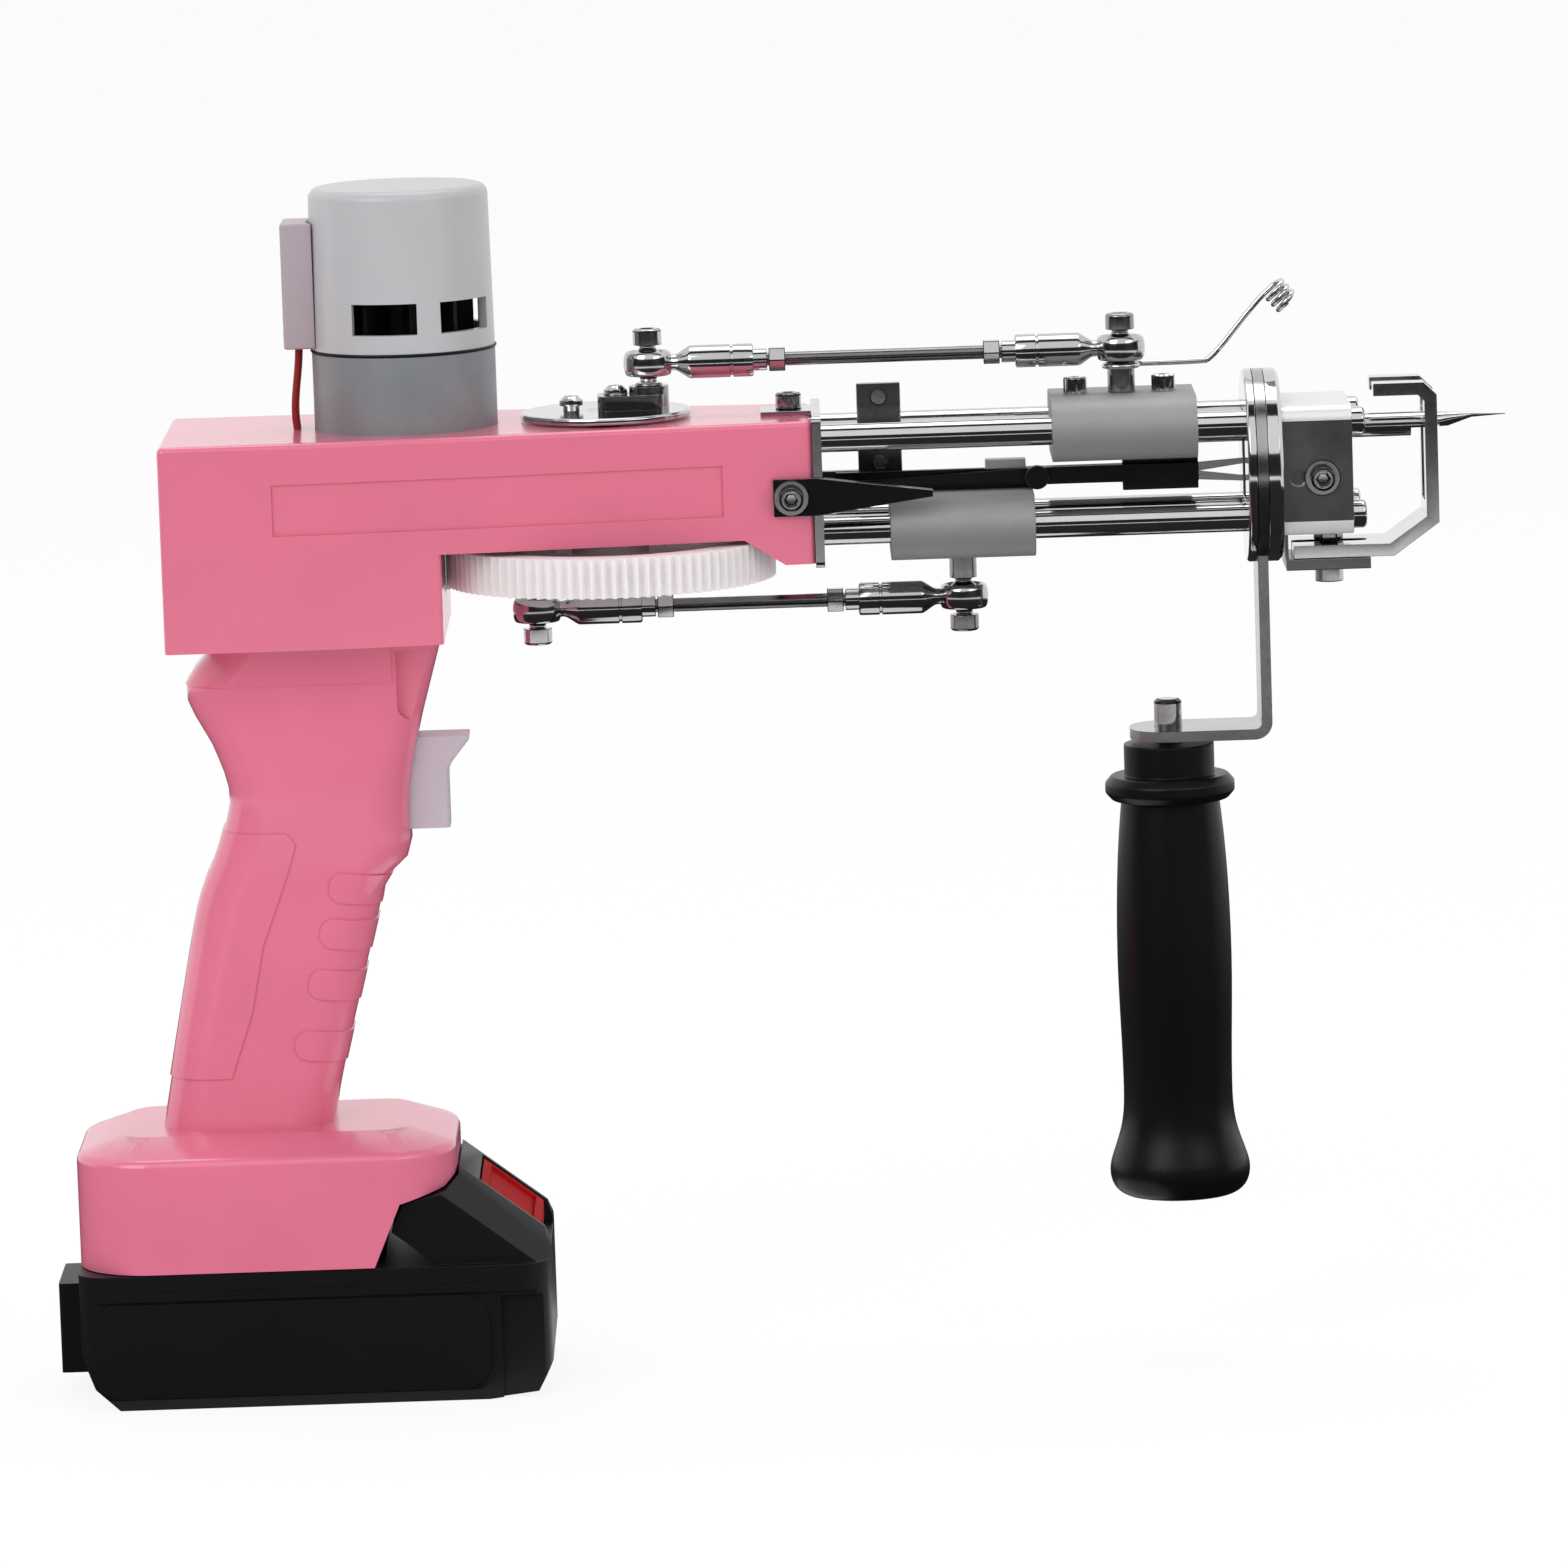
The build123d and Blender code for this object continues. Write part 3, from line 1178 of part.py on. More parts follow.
# Trigger and the sealed switch behind it
trigger = block(
    trigger_rear_x, trigger_front_x, -trigger_half_width, trigger_half_width,
    trigger_bottom_z, trigger_top_z,
)
lip = side_prism(
    [
        (trigger_front_x - trigger_lip_height / 2, trigger_top_z - trigger_lip_height),
        (trigger_front_x, trigger_top_z - trigger_lip_height),
        (trigger_lip_x, trigger_top_z - trigger_lip_edge),
        (trigger_lip_x, trigger_top_z),
        (trigger_front_x - trigger_lip_height / 2, trigger_top_z),
    ],
    -trigger_half_width, trigger_half_width,
)
trigger = trigger + lip
lip_root_z = trigger_top_z - trigger_lip_height
across_edges = trigger.edges().filter_by(Axis.Y)
root_edges = across_edges.filter_by_position(Axis.Z, lip_root_z - seat_gap, lip_root_z + seat_gap)
trigger = fillet(root_edges.group_by(Axis.X)[-1], trigger_lip_height * 0.8)
lower_edges = trigger.edges().filter_by(Axis.Z).filter_by_position(Axis.Z, trigger_bottom_z, lip_root_z)
trigger = fillet(lower_edges.group_by(Axis.X)[-1], trigger_half_width / 4)
plunger_r = switch_half_width / 3
plunger_z = (trigger_bottom_z + trigger_top_z) / 2
switch_front_x = trigger_rear_x - trigger_travel - 2 * move_gap
trigger += rod_x(trigger_rear_x - trigger_travel, trigger_rear_x, 0, plunger_z, plunger_r)
write("trigger", trigger)
switch = block(
    switch_front_x - switch_length, switch_front_x, -switch_half_width, switch_half_width,
    plunger_z - switch_height / 2, plunger_z + switch_height / 2,
)
plunger_room_x = switch_front_x - trigger_travel - move_gap
switch -= rod_x(plunger_room_x, switch_front_x + overrun, 0, plunger_z, plunger_r + move_gap)
write("trigger_switch", switch)

# Terminal block at the rear of the battery bay
blade_y = rail_half_width * 0.55
contact = block(
    bay_rear_x, rail_block_rear_x - move_gap, -rail_half_width, rail_half_width, rail_neck_z, bay_top_z
)
contact_blade_length = cell_r
for sign in (-1, 1):
    contact += block(
        rail_block_rear_x - move_gap, rail_block_rear_x + contact_blade_length,
        sign * blade_y - contact_thickness / 2, sign * blade_y + contact_thickness / 2,
        rail_neck_z + move_gap, rail_top_z - rail_ledge / 2,
    )
write("contact_block", contact)

# Battery: lower case with the side panels and the rear latch
lower_profile = [
    (battery_rear_x, battery_rear_round),
    (battery_rear_x + battery_rear_round * 0.25, battery_rear_round * 0.4),
    (battery_rear_x + battery_rear_round * 0.68, 0),
    (battery_side_front_x - battery_rear_round * 0.25, 0),
    (nose_bottom_x, battery_rear_round * 0.1),
    (battery_nose_x, battery_rear_round * 0.6),
    (battery_nose_x, battery_split_z),
    (battery_rear_x, battery_split_z),
]
lower_side = side_prism(lower_profile, -battery_half_width - overrun, battery_half_width + overrun)
lower_plan = RectangleRounded(battery_nose_x - battery_rear_x, 2 * battery_half_width, battery_corner)
plan_middle = Pos((battery_nose_x + battery_rear_x) / 2, 0, 0)
case = plan_middle * extrude(lower_plan, amount=battery_split_z) & lower_side
latch = block(
    battery_rear_x - battery_latch_length, battery_rear_x + battery_corner,
    -battery_latch_half_width, battery_latch_half_width, battery_latch_low_z, battery_latch_high_z,
)
case += fillet(latch.edges().filter_by(Axis.Z).group_by(Axis.X)[0], side_panel_depth)
cell_room_x = battery_rear_x + battery_latch_length
case -= block(
    cell_room_x, cell_room_x + cell_count * cell_pitch + seat_gap,
    -cell_length / 2 - move_gap, cell_length / 2 + move_gap, shell_wall, battery_split_z,
)
for sign in (-1, 1):
    step_y = sign * (nose_half_width + battery_half_width + overrun)
    case -= block(
        battery_side_front_x, battery_nose_x + overrun,
        min(sign * nose_half_width, step_y), max(sign * nose_half_width, step_y),
        -overrun, battery_split_z - battery_corner / 2,
    )
cheek_low_x = battery_rear_x + cheek_margin
cheek_high_x = battery_side_front_x - cheek_margin
cheek_low_z = cheek_margin
cheek_high_z = battery_split_z - cheek_margin
cheek_face = RectangleRounded(cheek_high_x - cheek_low_x, cheek_high_z - cheek_low_z, cheek_corner)
for sign in (-1, 1):
    cheek_y = sign * (battery_half_width - side_panel_depth)
    cheek_place = Pos((cheek_low_x + cheek_high_x) / 2, cheek_y, (cheek_low_z + cheek_high_z) / 2)
    cheek = cheek_place * extrude(Plane.XZ * cheek_face, amount=-sign * overrun)
    skin = block(
        battery_rear_x - overrun, battery_side_front_x + overrun,
        min(cheek_y, cheek_y + sign * overrun), max(cheek_y, cheek_y + sign * overrun),
        -overrun, battery_split_z - battery_rim,
    )
    case -= skin - cheek
write("battery_lower_case", case)
cells = []
first_cell_x = cell_room_x + cell_pitch / 2 + seat_gap / 2
for cell in range(cell_count):
    x = first_cell_x + cell * cell_pitch
    cells.append(rod_y(x, -cell_length / 2, cell_length / 2, shell_wall + cell_r + seat_gap, cell_r))
write("battery_cells", *cells)

# Battery: upper case with the rail block and the sloping nose
upper_plan = plan_middle * extrude(lower_plan, amount=battery_top_z)
upper = upper_plan & block(
    battery_rear_x, battery_nose_x, -battery_half_width, battery_half_width, battery_split_z, battery_top_z
)
rail_front_x = notch_low_x + shell_wall
upper += block(
    rail_block_rear_x, rail_front_x, -rail_half_width + rail_ledge, rail_half_width - rail_ledge,
    battery_split_z, rail_top_z,
)
upper += block(rail_block_rear_x, rail_front_x, -rail_half_width, rail_half_width, rail_neck_z, rail_top_z)
nose_profile = [
    (notch_low_x + 2 * move_gap, battery_top_z - shell_wall),
    (notch_low_x + 2 * move_gap, battery_top_z),
    (notch_mid_x + 2 * move_gap, notch_mid_z - move_gap),
    (notch_far_x + move_gap, notch_far_z - 2 * move_gap),
    (foot_front_x + move_gap, notch_high_z - 2 * move_gap),
    (nose_top_x, nose_top_z),
    (nose_slope_end_x, nose_slope_end_z),
    (battery_nose_x, battery_top_z + shell_wall),
    (battery_nose_x, battery_top_z - shell_wall),
]
nose_side = side_prism(nose_profile, -nose_half_width, nose_half_width)
slope_way = math.atan2(nose_top_z - nose_slope_end_z, nose_slope_end_x - nose_top_x)
gable_points = [
    (-nose_half_width, battery_split_z),
    (nose_half_width, battery_split_z),
    (nose_half_width, nose_top_z - nose_chamfer_drop),
    (nose_half_width - nose_chamfer_side, nose_top_z),
    (-nose_half_width + nose_chamfer_side, nose_top_z),
    (-nose_half_width, nose_top_z - nose_chamfer_drop),
]


def gable(sink):
    """Roofed bar that follows the nose's slope, lowered by a small step."""
    face = make_face(Polyline(*[(0, y, z) for y, z in gable_points], close=True))
    start = Vector(nose_top_x - nose_half_width, 0, nose_half_width * math.tan(slope_way))
    length = 4 * nose_half_width
    way = Vector(math.cos(slope_way), 0, -math.sin(slope_way))
    return Pos(start.X, 0, start.Z - sink) * extrude(face, amount=length, dir=way)


plan_round = plan_middle * extrude(lower_plan, amount=nose_top_z + overrun)
nose_body = nose_side & gable(0) & plan_round
upper += nose_body
pocket_front_x = battery_nose_x + overrun
pocket_room = block(
    button_top_x - move_gap, pocket_front_x, -button_half_width - move_gap, button_half_width + move_gap,
    battery_top_z + move_gap, nose_top_z + overrun,
)
button_floor = button_depth + button_travel
upper -= pocket_room - gable(button_floor + move_gap)
for sign in (-1, 1):
    upper -= block(
        rail_block_rear_x - overrun, rail_block_rear_x + contact_blade_length + move_gap,
        sign * blade_y - contact_thickness / 2 - move_gap, sign * blade_y + contact_thickness / 2 + move_gap,
        rail_neck_z, rail_top_z + overrun,
    )
write("battery_upper_case", upper)
button = nose_side & gable(button_sink) & plan_round & block(
    button_top_x, battery_nose_x - shell_wall, -button_half_width, button_half_width,
    battery_top_z + shell_wall, nose_top_z,
)
button -= gable(button_depth)
tray_half_width = button_half_width - button_rim
button -= block(
    button_top_x + button_rim, battery_nose_x - shell_wall - button_rim, -tray_half_width, tray_half_width,
    battery_top_z, nose_top_z,
) - gable(button_sink + button_tray_depth)
write("release_button", button)

# Side handle: a ring between the flanges, a strap with one bend, bolt and rubber grip
strap_x = flange_x + rear_flange_thickness + 1.5 * seat_gap
strap_end_x = strap_x + strap_thickness
spigot_bore = rod_x(strap_x - overrun, strap_end_x + overrun, 0, flange_z, spigot_r + run_fit)
ring = rod_x(strap_x, strap_end_x, 0, flange_z, flange_r) - spigot_bore
leg_outline = [
    (strap_x, flange_z - spigot_r),
    (strap_end_x, flange_z - spigot_r),
    (strap_end_x, strap_foot_z - strap_thickness / 2),
    (strap_foot_end_x, strap_foot_z - strap_thickness / 2),
    (strap_foot_end_x, strap_foot_z + strap_thickness / 2),
    (strap_x, strap_foot_z + strap_thickness / 2),
]
leg = side_prism(leg_outline, -strap_width / 2, strap_width / 2)
bend_low_z = strap_foot_z - strap_thickness
bend_high_z = strap_foot_z + strap_thickness
bend_edges = leg.edges().filter_by(Axis.Y).filter_by_position(Axis.Z, bend_low_z, bend_high_z)
outer_bend = bend_edges.filter_by_position(Axis.X, strap_end_x - seat_gap, strap_end_x + seat_gap)
leg = fillet(outer_bend, strap_outer_bend)
inner_edges = leg.edges().filter_by(Axis.Y).filter_by_position(Axis.X, strap_x - seat_gap, strap_x + seat_gap)
leg = fillet(inner_edges.group_by(Axis.Z)[0], strap_outer_bend - strap_thickness)
leg -= spigot_bore
end_edges = leg.edges().filter_by(Axis.Z).group_by(Axis.X)[0]
leg = fillet(end_edges, strap_width / 2.4)
strap = ring + leg
strap -= rod_z(grip_x, 0, strap_foot_z - overrun, strap_foot_z + overrun, bolt_r + seat_gap)
write("handle_strap", strap)
strap_low_z = strap_foot_z - strap_thickness / 2
bolt = rod_z(grip_x, 0, strap_low_z - bolt_depth, bolt_top_z, bolt_r)
bolt = chamfer(bolt.edges().group_by(Axis.Z)[-1], bolt_r / 5)
write("grip_bolt", bolt)
grip_length = grip_top_z - grip_bottom_z
grip_points = [
    (0, grip_bottom_z),
    (grip_flare_r * 0.8, grip_bottom_z),
    (grip_flare_r * 0.97, grip_bottom_z + grip_length * 0.025),
    (grip_flare_r, grip_bottom_z + grip_length * 0.06),
    (grip_flare_r * 0.95, grip_bottom_z + grip_length * 0.09),
    (grip_waist_r * 1.06, grip_bottom_z + grip_length * 0.15),
    (grip_waist_r, grip_bottom_z + grip_length * 0.24),
    (grip_belly_r, grip_bottom_z + grip_length * 0.48),
    (grip_belly_r * 0.985, grip_bottom_z + grip_length * 0.66),
    (grip_neck_r, grip_top_z - grip_collar_height - grip_ring_height),
]
outline = Polyline(*[(r, 0, z) for r, z in grip_points[:2]])
outline += Spline(*[(r, 0, z) for r, z in grip_points[1:]])
collar_z = grip_top_z - grip_collar_height
ring_z = collar_z - grip_ring_height
ring_profile = [
    (grip_neck_r, ring_z),
    (grip_ring_r * 0.9, ring_z),
    (grip_ring_r, ring_z + grip_ring_height * 0.3),
    (grip_ring_r, ring_z + grip_ring_height * 0.7),
    (grip_ring_r * 0.9, collar_z),
    (grip_collar_r, collar_z),
    (grip_collar_r, grip_top_z),
    (0, grip_top_z),
    (0, grip_bottom_z),
]
outline += Polyline(*[(r, 0, z) for r, z in ring_profile])
grip = Pos(grip_x, 0, 0) * revolve(make_face(outline), axis=Axis.Z)
grip -= rod_z(grip_x, 0, strap_low_z - bolt_depth, grip_top_z + overrun, bolt_r)
write("rubber_grip", grip)

# Presser foot: flat bar bent twice, split into a fork that the needle passes through
inner_x = presser_front_x - presser_thickness
presser_outline = [
    (presser_base_x, presser_base_z),
    (presser_knee_x, presser_base_z),
    (presser_front_x, presser_knee_z),
    (presser_front_x, presser_top_z - presser_thickness),
    (presser_front_x - presser_thickness, presser_top_z),
    (presser_tine_x, presser_top_z),
    (presser_tine_x, presser_top_z - presser_thickness),
    (inner_x - presser_thickness / 2, presser_top_z - presser_thickness),
    (inner_x, presser_top_z - presser_thickness * 1.5),
    (inner_x, presser_knee_z + presser_thickness / 2),
    (presser_knee_x - presser_thickness / 3, presser_base_z + presser_thickness),
    (presser_base_x, presser_base_z + presser_thickness),
]
presser = side_prism(presser_outline, -presser_width / 2, presser_width / 2)
presser -= block(
    presser_tine_x - overrun, presser_front_x + overrun, -presser_slot / 2, presser_slot / 2,
    presser_knee_z + presser_thickness * 1.5, presser_top_z + overrun,
)
screw_slot = SlotOverall(presser_travel * 2 + clamp_screw_r * 4, 2 * (clamp_screw_r + seat_gap * 2))
presser -= Pos(clamp_screw_x, 0, presser_base_z - overrun) * extrude(screw_slot, amount=2 * overrun)
write("presser_foot", presser)
clamp_top_z = presser_base_z - move_gap / 2
clamp_low_z = clamp_top_z - clamp_plate_thickness
clamp = block(
    clamp_plate_x, clamp_plate_x + clamp_plate_length, -presser_width / 2, presser_width / 2,
    clamp_low_z, clamp_top_z,
)
clamp += block(
    clamp_plate_x, presser_base_x - presser_travel / 4, -presser_width / 2, presser_width / 2,
    clamp_low_z, head_bottom_z,
)
clamp -= rod_z(clamp_screw_x, 0, clamp_low_z - overrun, clamp_top_z + overrun, clamp_screw_r + seat_gap)
write("clamp_plate", clamp)
clamp_screw = rod_z(clamp_screw_x, 0, clamp_low_z, head_bottom_z, clamp_screw_r)
clamp_screw += rod_z(clamp_screw_x, 0, clamp_low_z - cap_head_height, clamp_low_z, cap_head_r)
nut_low_z = presser_base_z + presser_thickness + move_gap
clamp_nut = extrude(RegularPolygon(clamp_screw_r * 1.7, 6), amount=head_bottom_z - nut_low_z)
clamp_screw += Pos(clamp_screw_x, 0, nut_low_z) * clamp_nut
root_screws = [top_screw, head_screw, wedge_screw, head_washer, wedge_washer, clamp_screw]
write("housing_screws", *root_screws, *bracket_screws, *handle_screws)
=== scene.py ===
"""Battery tufting tool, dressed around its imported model.

The origin is the centre of the battery's flat underside. X runs forward to the needle, Z is up,
and all lengths are metres.
"""
import math

import bpy
from mathutils import Matrix, Vector


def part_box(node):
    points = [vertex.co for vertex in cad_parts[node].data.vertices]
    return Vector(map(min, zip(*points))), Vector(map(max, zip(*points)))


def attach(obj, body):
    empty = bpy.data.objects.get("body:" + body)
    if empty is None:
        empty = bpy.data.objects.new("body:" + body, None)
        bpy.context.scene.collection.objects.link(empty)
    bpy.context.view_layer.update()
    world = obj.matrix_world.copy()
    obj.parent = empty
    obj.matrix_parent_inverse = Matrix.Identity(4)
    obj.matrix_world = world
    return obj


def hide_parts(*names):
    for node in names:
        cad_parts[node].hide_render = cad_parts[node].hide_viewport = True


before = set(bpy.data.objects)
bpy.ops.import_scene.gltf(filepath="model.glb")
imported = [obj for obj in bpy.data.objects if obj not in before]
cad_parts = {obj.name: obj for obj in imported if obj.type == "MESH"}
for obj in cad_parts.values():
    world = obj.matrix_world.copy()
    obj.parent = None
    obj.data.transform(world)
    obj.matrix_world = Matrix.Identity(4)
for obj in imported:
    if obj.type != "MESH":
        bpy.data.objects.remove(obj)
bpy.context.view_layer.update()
bpy.ops.object.select_all(action="DESELECT")

# Camera, at the photograph's angle: level along the tool's side, tilted down a little, and turned
# so that the tool leans nose up in the frame.
aim = Vector((0.1413, 0.0, 0.1684))
camera_distance = 2.77
camera_lens = 222.6
look_down = math.radians(8.5)
roll = math.radians(1.9)
look = Vector((0, math.cos(look_down), -math.sin(look_down)))
level_up = Vector((0, math.sin(look_down), math.cos(look_down)))
camera_right = Vector((1, 0, 0)) * math.cos(roll) - level_up * math.sin(roll)
camera_up = Vector((1, 0, 0)) * math.sin(roll) + level_up * math.cos(roll)
bpy.ops.object.camera_add(location=aim - look * camera_distance)
camera = bpy.context.object
camera.name = "camera"
camera.rotation_euler = Matrix((camera_right, camera_up, -look)).transposed().to_euler()
camera.data.sensor_width = 36
camera.data.lens = camera_lens
bpy.context.scene.camera = camera
bpy.context.scene.view_settings.view_transform = "Standard"

# Studio: a white room that only the camera and polished metal see as pure white. One large soft
# lamp hangs in front on the left, one on the right, and one above for the top edges.
white = (1, 1, 1, 1)
room_light = 0.62
paper_light = 1.0


def white_rays(nodes, links):
    """Socket that is 1 for what the camera sees and for what polished metal mirrors."""
    rays = nodes.new("ShaderNodeLightPath")
    seen = nodes.new("ShaderNodeMath")
    seen.operation = "MAXIMUM"
    links.new(rays.outputs["Is Camera Ray"], seen.inputs[0])
    links.new(rays.outputs["Is Glossy Ray"], seen.inputs[1])
    return seen.outputs[0]


def soft_lamp(name, place, width, height, power):
    """Area lamp that faces the middle of the tool."""
    bpy.ops.object.light_add(type="AREA", location=place)
    lamp = bpy.context.object
    lamp.name = name
    lamp.data.shape = "RECTANGLE"
    lamp.data.size = width
    lamp.data.size_y = height
    lamp.data.energy = power
    lamp.rotation_euler = (Vector(place) - aim).to_track_quat("Z", "Y").to_euler()


world = bpy.context.scene.world or bpy.data.worlds.new("studio")
bpy.context.scene.world = world
world.use_nodes = True
nodes = world.node_tree.nodes
links = world.node_tree.links
nodes.clear()
glass = nodes.new("ShaderNodeLightPath")
clear = nodes.new("ShaderNodeMath")
clear.operation = "MAXIMUM"
links.new(white_rays(nodes, links), clear.inputs[0])
links.new(glass.outputs["Is Transmission Ray"], clear.inputs[1])
room = nodes.new("ShaderNodeBackground")
room.inputs["Color"].default_value = white
room.inputs["Strength"].default_value = room_light
paper = nodes.new("ShaderNodeBackground")
paper.inputs["Color"].default_value = white
paper.inputs["Strength"].default_value = paper_light
either = nodes.new("ShaderNodeMixShader")
links.new(clear.outputs[0], either.inputs["Fac"])
links.new(room.outputs[0], either.inputs[1])
links.new(paper.outputs[0], either.inputs[2])
sky = nodes.new("ShaderNodeOutputWorld")
links.new(either.outputs[0], sky.inputs["Surface"])
soft_lamp("key_lamp", (-1.1, -1.7, 1.5), width=1.4, height=1.4, power=17)
soft_lamp("fill_lamp", (1.6, -1.5, 0.8), width=1.2, height=1.4, power=8)
soft_lamp("top_lamp", (0.2, 0.5, 2.2), width=1.6, height=1.0, power=12)

# Floor: one pale sheet of paper that runs out of view. The camera and polished metal see it lit to
# white, with the tool's soft shadow kept on it.
floor_size = 40
glow_share = 0.86
glow_light = 1.03
bpy.ops.mesh.primitive_plane_add(size=floor_size)
floor = bpy.context.object
floor.name = "floor"
paint = bpy.data.materials.new("floor_paper")
paint.use_nodes = True
nodes = paint.node_tree.nodes
links = paint.node_tree.links
nodes.clear()
share = nodes.new("ShaderNodeMath")
share.operation = "MULTIPLY"
links.new(white_rays(nodes, links), share.inputs[0])
share.inputs[1].default_value = glow_share
matt = nodes.new("ShaderNodeBsdfDiffuse")
matt.inputs["Color"].default_value = (0.9, 0.9, 0.9, 1)
glow = nodes.new("ShaderNodeEmission")
glow.inputs["Color"].default_value = white
glow.inputs["Strength"].default_value = glow_light
both = nodes.new("ShaderNodeMixShader")
links.new(share.outputs[0], both.inputs["Fac"])
links.new(matt.outputs[0], both.inputs[1])
links.new(glow.outputs[0], both.inputs[2])
out = nodes.new("ShaderNodeOutputMaterial")
links.new(both.outputs[0], out.inputs["Surface"])
floor.data.materials.append(paint)

# Black cards round the tool, which only polished metal and gloss reflect: a low wall in front, a
# ring on the floor and a strip overhead, so that chrome shows dark lines between white ones.
card = bpy.data.materials.new("black_card")
card.use_nodes = True
card_shader = card.node_tree.nodes["Principled BSDF"]
card_shader.inputs["Base Color"].default_value = (0.028, 0.028, 0.029, 1)
card_shader.inputs["Roughness"].default_value = 1.0
card_shader.inputs["Specular IOR Level"].default_value = 0.0
wall_r = 1.9
wall_height = 0.9
bpy.ops.mesh.primitive_cylinder_add(
    vertices=64, radius=wall_r, depth=wall_height, end_fill_type="NOTHING",
    location=(aim.x, 0, wall_height / 2),
)
wall = bpy.context.object
wall.name = "card_wall"
bpy.ops.object.mode_set(mode="EDIT")
bpy.ops.mesh.select_all(action="SELECT")
bpy.ops.mesh.bisect(plane_co=(0, 0, 0), plane_no=(0, 1, 0), clear_outer=True)
bpy.ops.object.mode_set(mode="OBJECT")
strip_y = -0.25
strip_height = 1.1
strip_length = 2.4
strip_width = 0.28
bpy.ops.mesh.primitive_plane_add(size=1, location=(aim.x, strip_y, strip_height))
strip = bpy.context.object
strip.name = "card_strip"
strip.scale = (strip_length, strip_width, 1)
bpy.ops.object.transform_apply(location=False, rotation=False, scale=True)
ring_outer_r = 1.2
ring_inner_r = 0.1
ring_height = 0.003
bpy.ops.object.select_all(action="DESELECT")
bpy.ops.mesh.primitive_circle_add(
    vertices=64, radius=ring_outer_r, fill_type="NGON", location=(aim.x, 0, ring_height),
)
ring = bpy.context.object
ring.name = "card_ring"
bpy.ops.object.mode_set(mode="EDIT")
bpy.ops.mesh.inset(thickness=ring_outer_r - ring_inner_r, depth=0)
bpy.ops.mesh.delete(type="FACE")
bpy.ops.object.mode_set(mode="OBJECT")
for part in (wall, strip, ring):
    part.data.materials.append(card)
    part.visible_camera = False
    part.visible_diffuse = False
    part.visible_shadow = False
    part.visible_transmission = False

# Gear housing: glossy pink box with an arm, injection moulded in ABS. It is kept as the CAD made
# it, with its edges softened as a mould leaves them.
edge_angle = math.radians(38)
split_angle = math.radians(46)
flat_angle = math.radians(0.6)
weld_gap = 0.000005


def drifting_colour(tree, colour, drift, scale):
    """Let the base colour wander slowly over the piece, darker and lighter by the share drift."""
    place = tree.nodes.new("ShaderNodeTexCoord")
    cloud = tree.nodes.new("ShaderNodeTexNoise")
    cloud.inputs["Scale"].default_value = scale
    cloud.inputs["Detail"].default_value = 3.0
    tree.links.new(place.outputs["Object"], cloud.inputs["Vector"])
    shades = tree.nodes.new("ShaderNodeValToRGB")
    shades.color_ramp.elements[0].position = 0.3
    shades.color_ramp.elements[0].color = tuple(c * (1 - drift) for c in colour) + (1,)
    shades.color_ramp.elements[1].position = 0.7
    shades.color_ramp.elements[1].color = tuple(min(1, c * (1 + drift)) for c in colour) + (1,)
    tree.links.new(cloud.outputs["Fac"], shades.inputs["Fac"])
    tree.links.new(shades.outputs["Color"], tree.nodes["Principled BSDF"].inputs["Base Color"])


def fine_grain(tree, place, grain, detail, roughness, spread, relief, depth):
    """Break up the gloss and the skin with one fine noise, read at the socket place."""
    shader = tree.nodes["Principled BSDF"]
    speck = tree.nodes.new("ShaderNodeTexNoise")
    speck.inputs["Scale"].default_value = grain
    speck.inputs["Detail"].default_value = detail
    tree.links.new(place, speck.inputs["Vector"])
    gloss = tree.nodes.new("ShaderNodeMapRange")
    gloss.inputs["To Min"].default_value = roughness * (1 - spread)
    gloss.inputs["To Max"].default_value = roughness * (1 + spread)
    tree.links.new(speck.outputs["Fac"], gloss.inputs["Value"])
    tree.links.new(gloss.outputs["Result"], shader.inputs["Roughness"])
    bump = tree.nodes.new("ShaderNodeBump")
    bump.inputs["Strength"].default_value = relief
    bump.inputs["Distance"].default_value = depth
    tree.links.new(speck.outputs["Fac"], bump.inputs["Height"])
    tree.links.new(bump.outputs["Normal"], shader.inputs["Normal"])


def moulded(name, colour, roughness, grain=900.0, relief=0.04, drift=0.06, coat=0.0):
    """Plastic as it leaves a mould: slow drift of the colour, fine grain in the gloss."""
    material = bpy.data.materials.new(name)
    material.use_nodes = True
    tree = material.node_tree
    drifting_colour(tree, colour, drift, scale=26.0)
    place = tree.nodes.new("ShaderNodeTexCoord")
    fine_grain(
        tree, place.outputs["Object"], grain, detail=2.0, roughness=roughness, spread=0.08,
        relief=relief, depth=0.0002,
    )
    shader = tree.nodes["Principled BSDF"]
    shader.inputs["Coat Weight"].default_value = coat
    shader.inputs["Coat Roughness"].default_value = 0.12
    return material


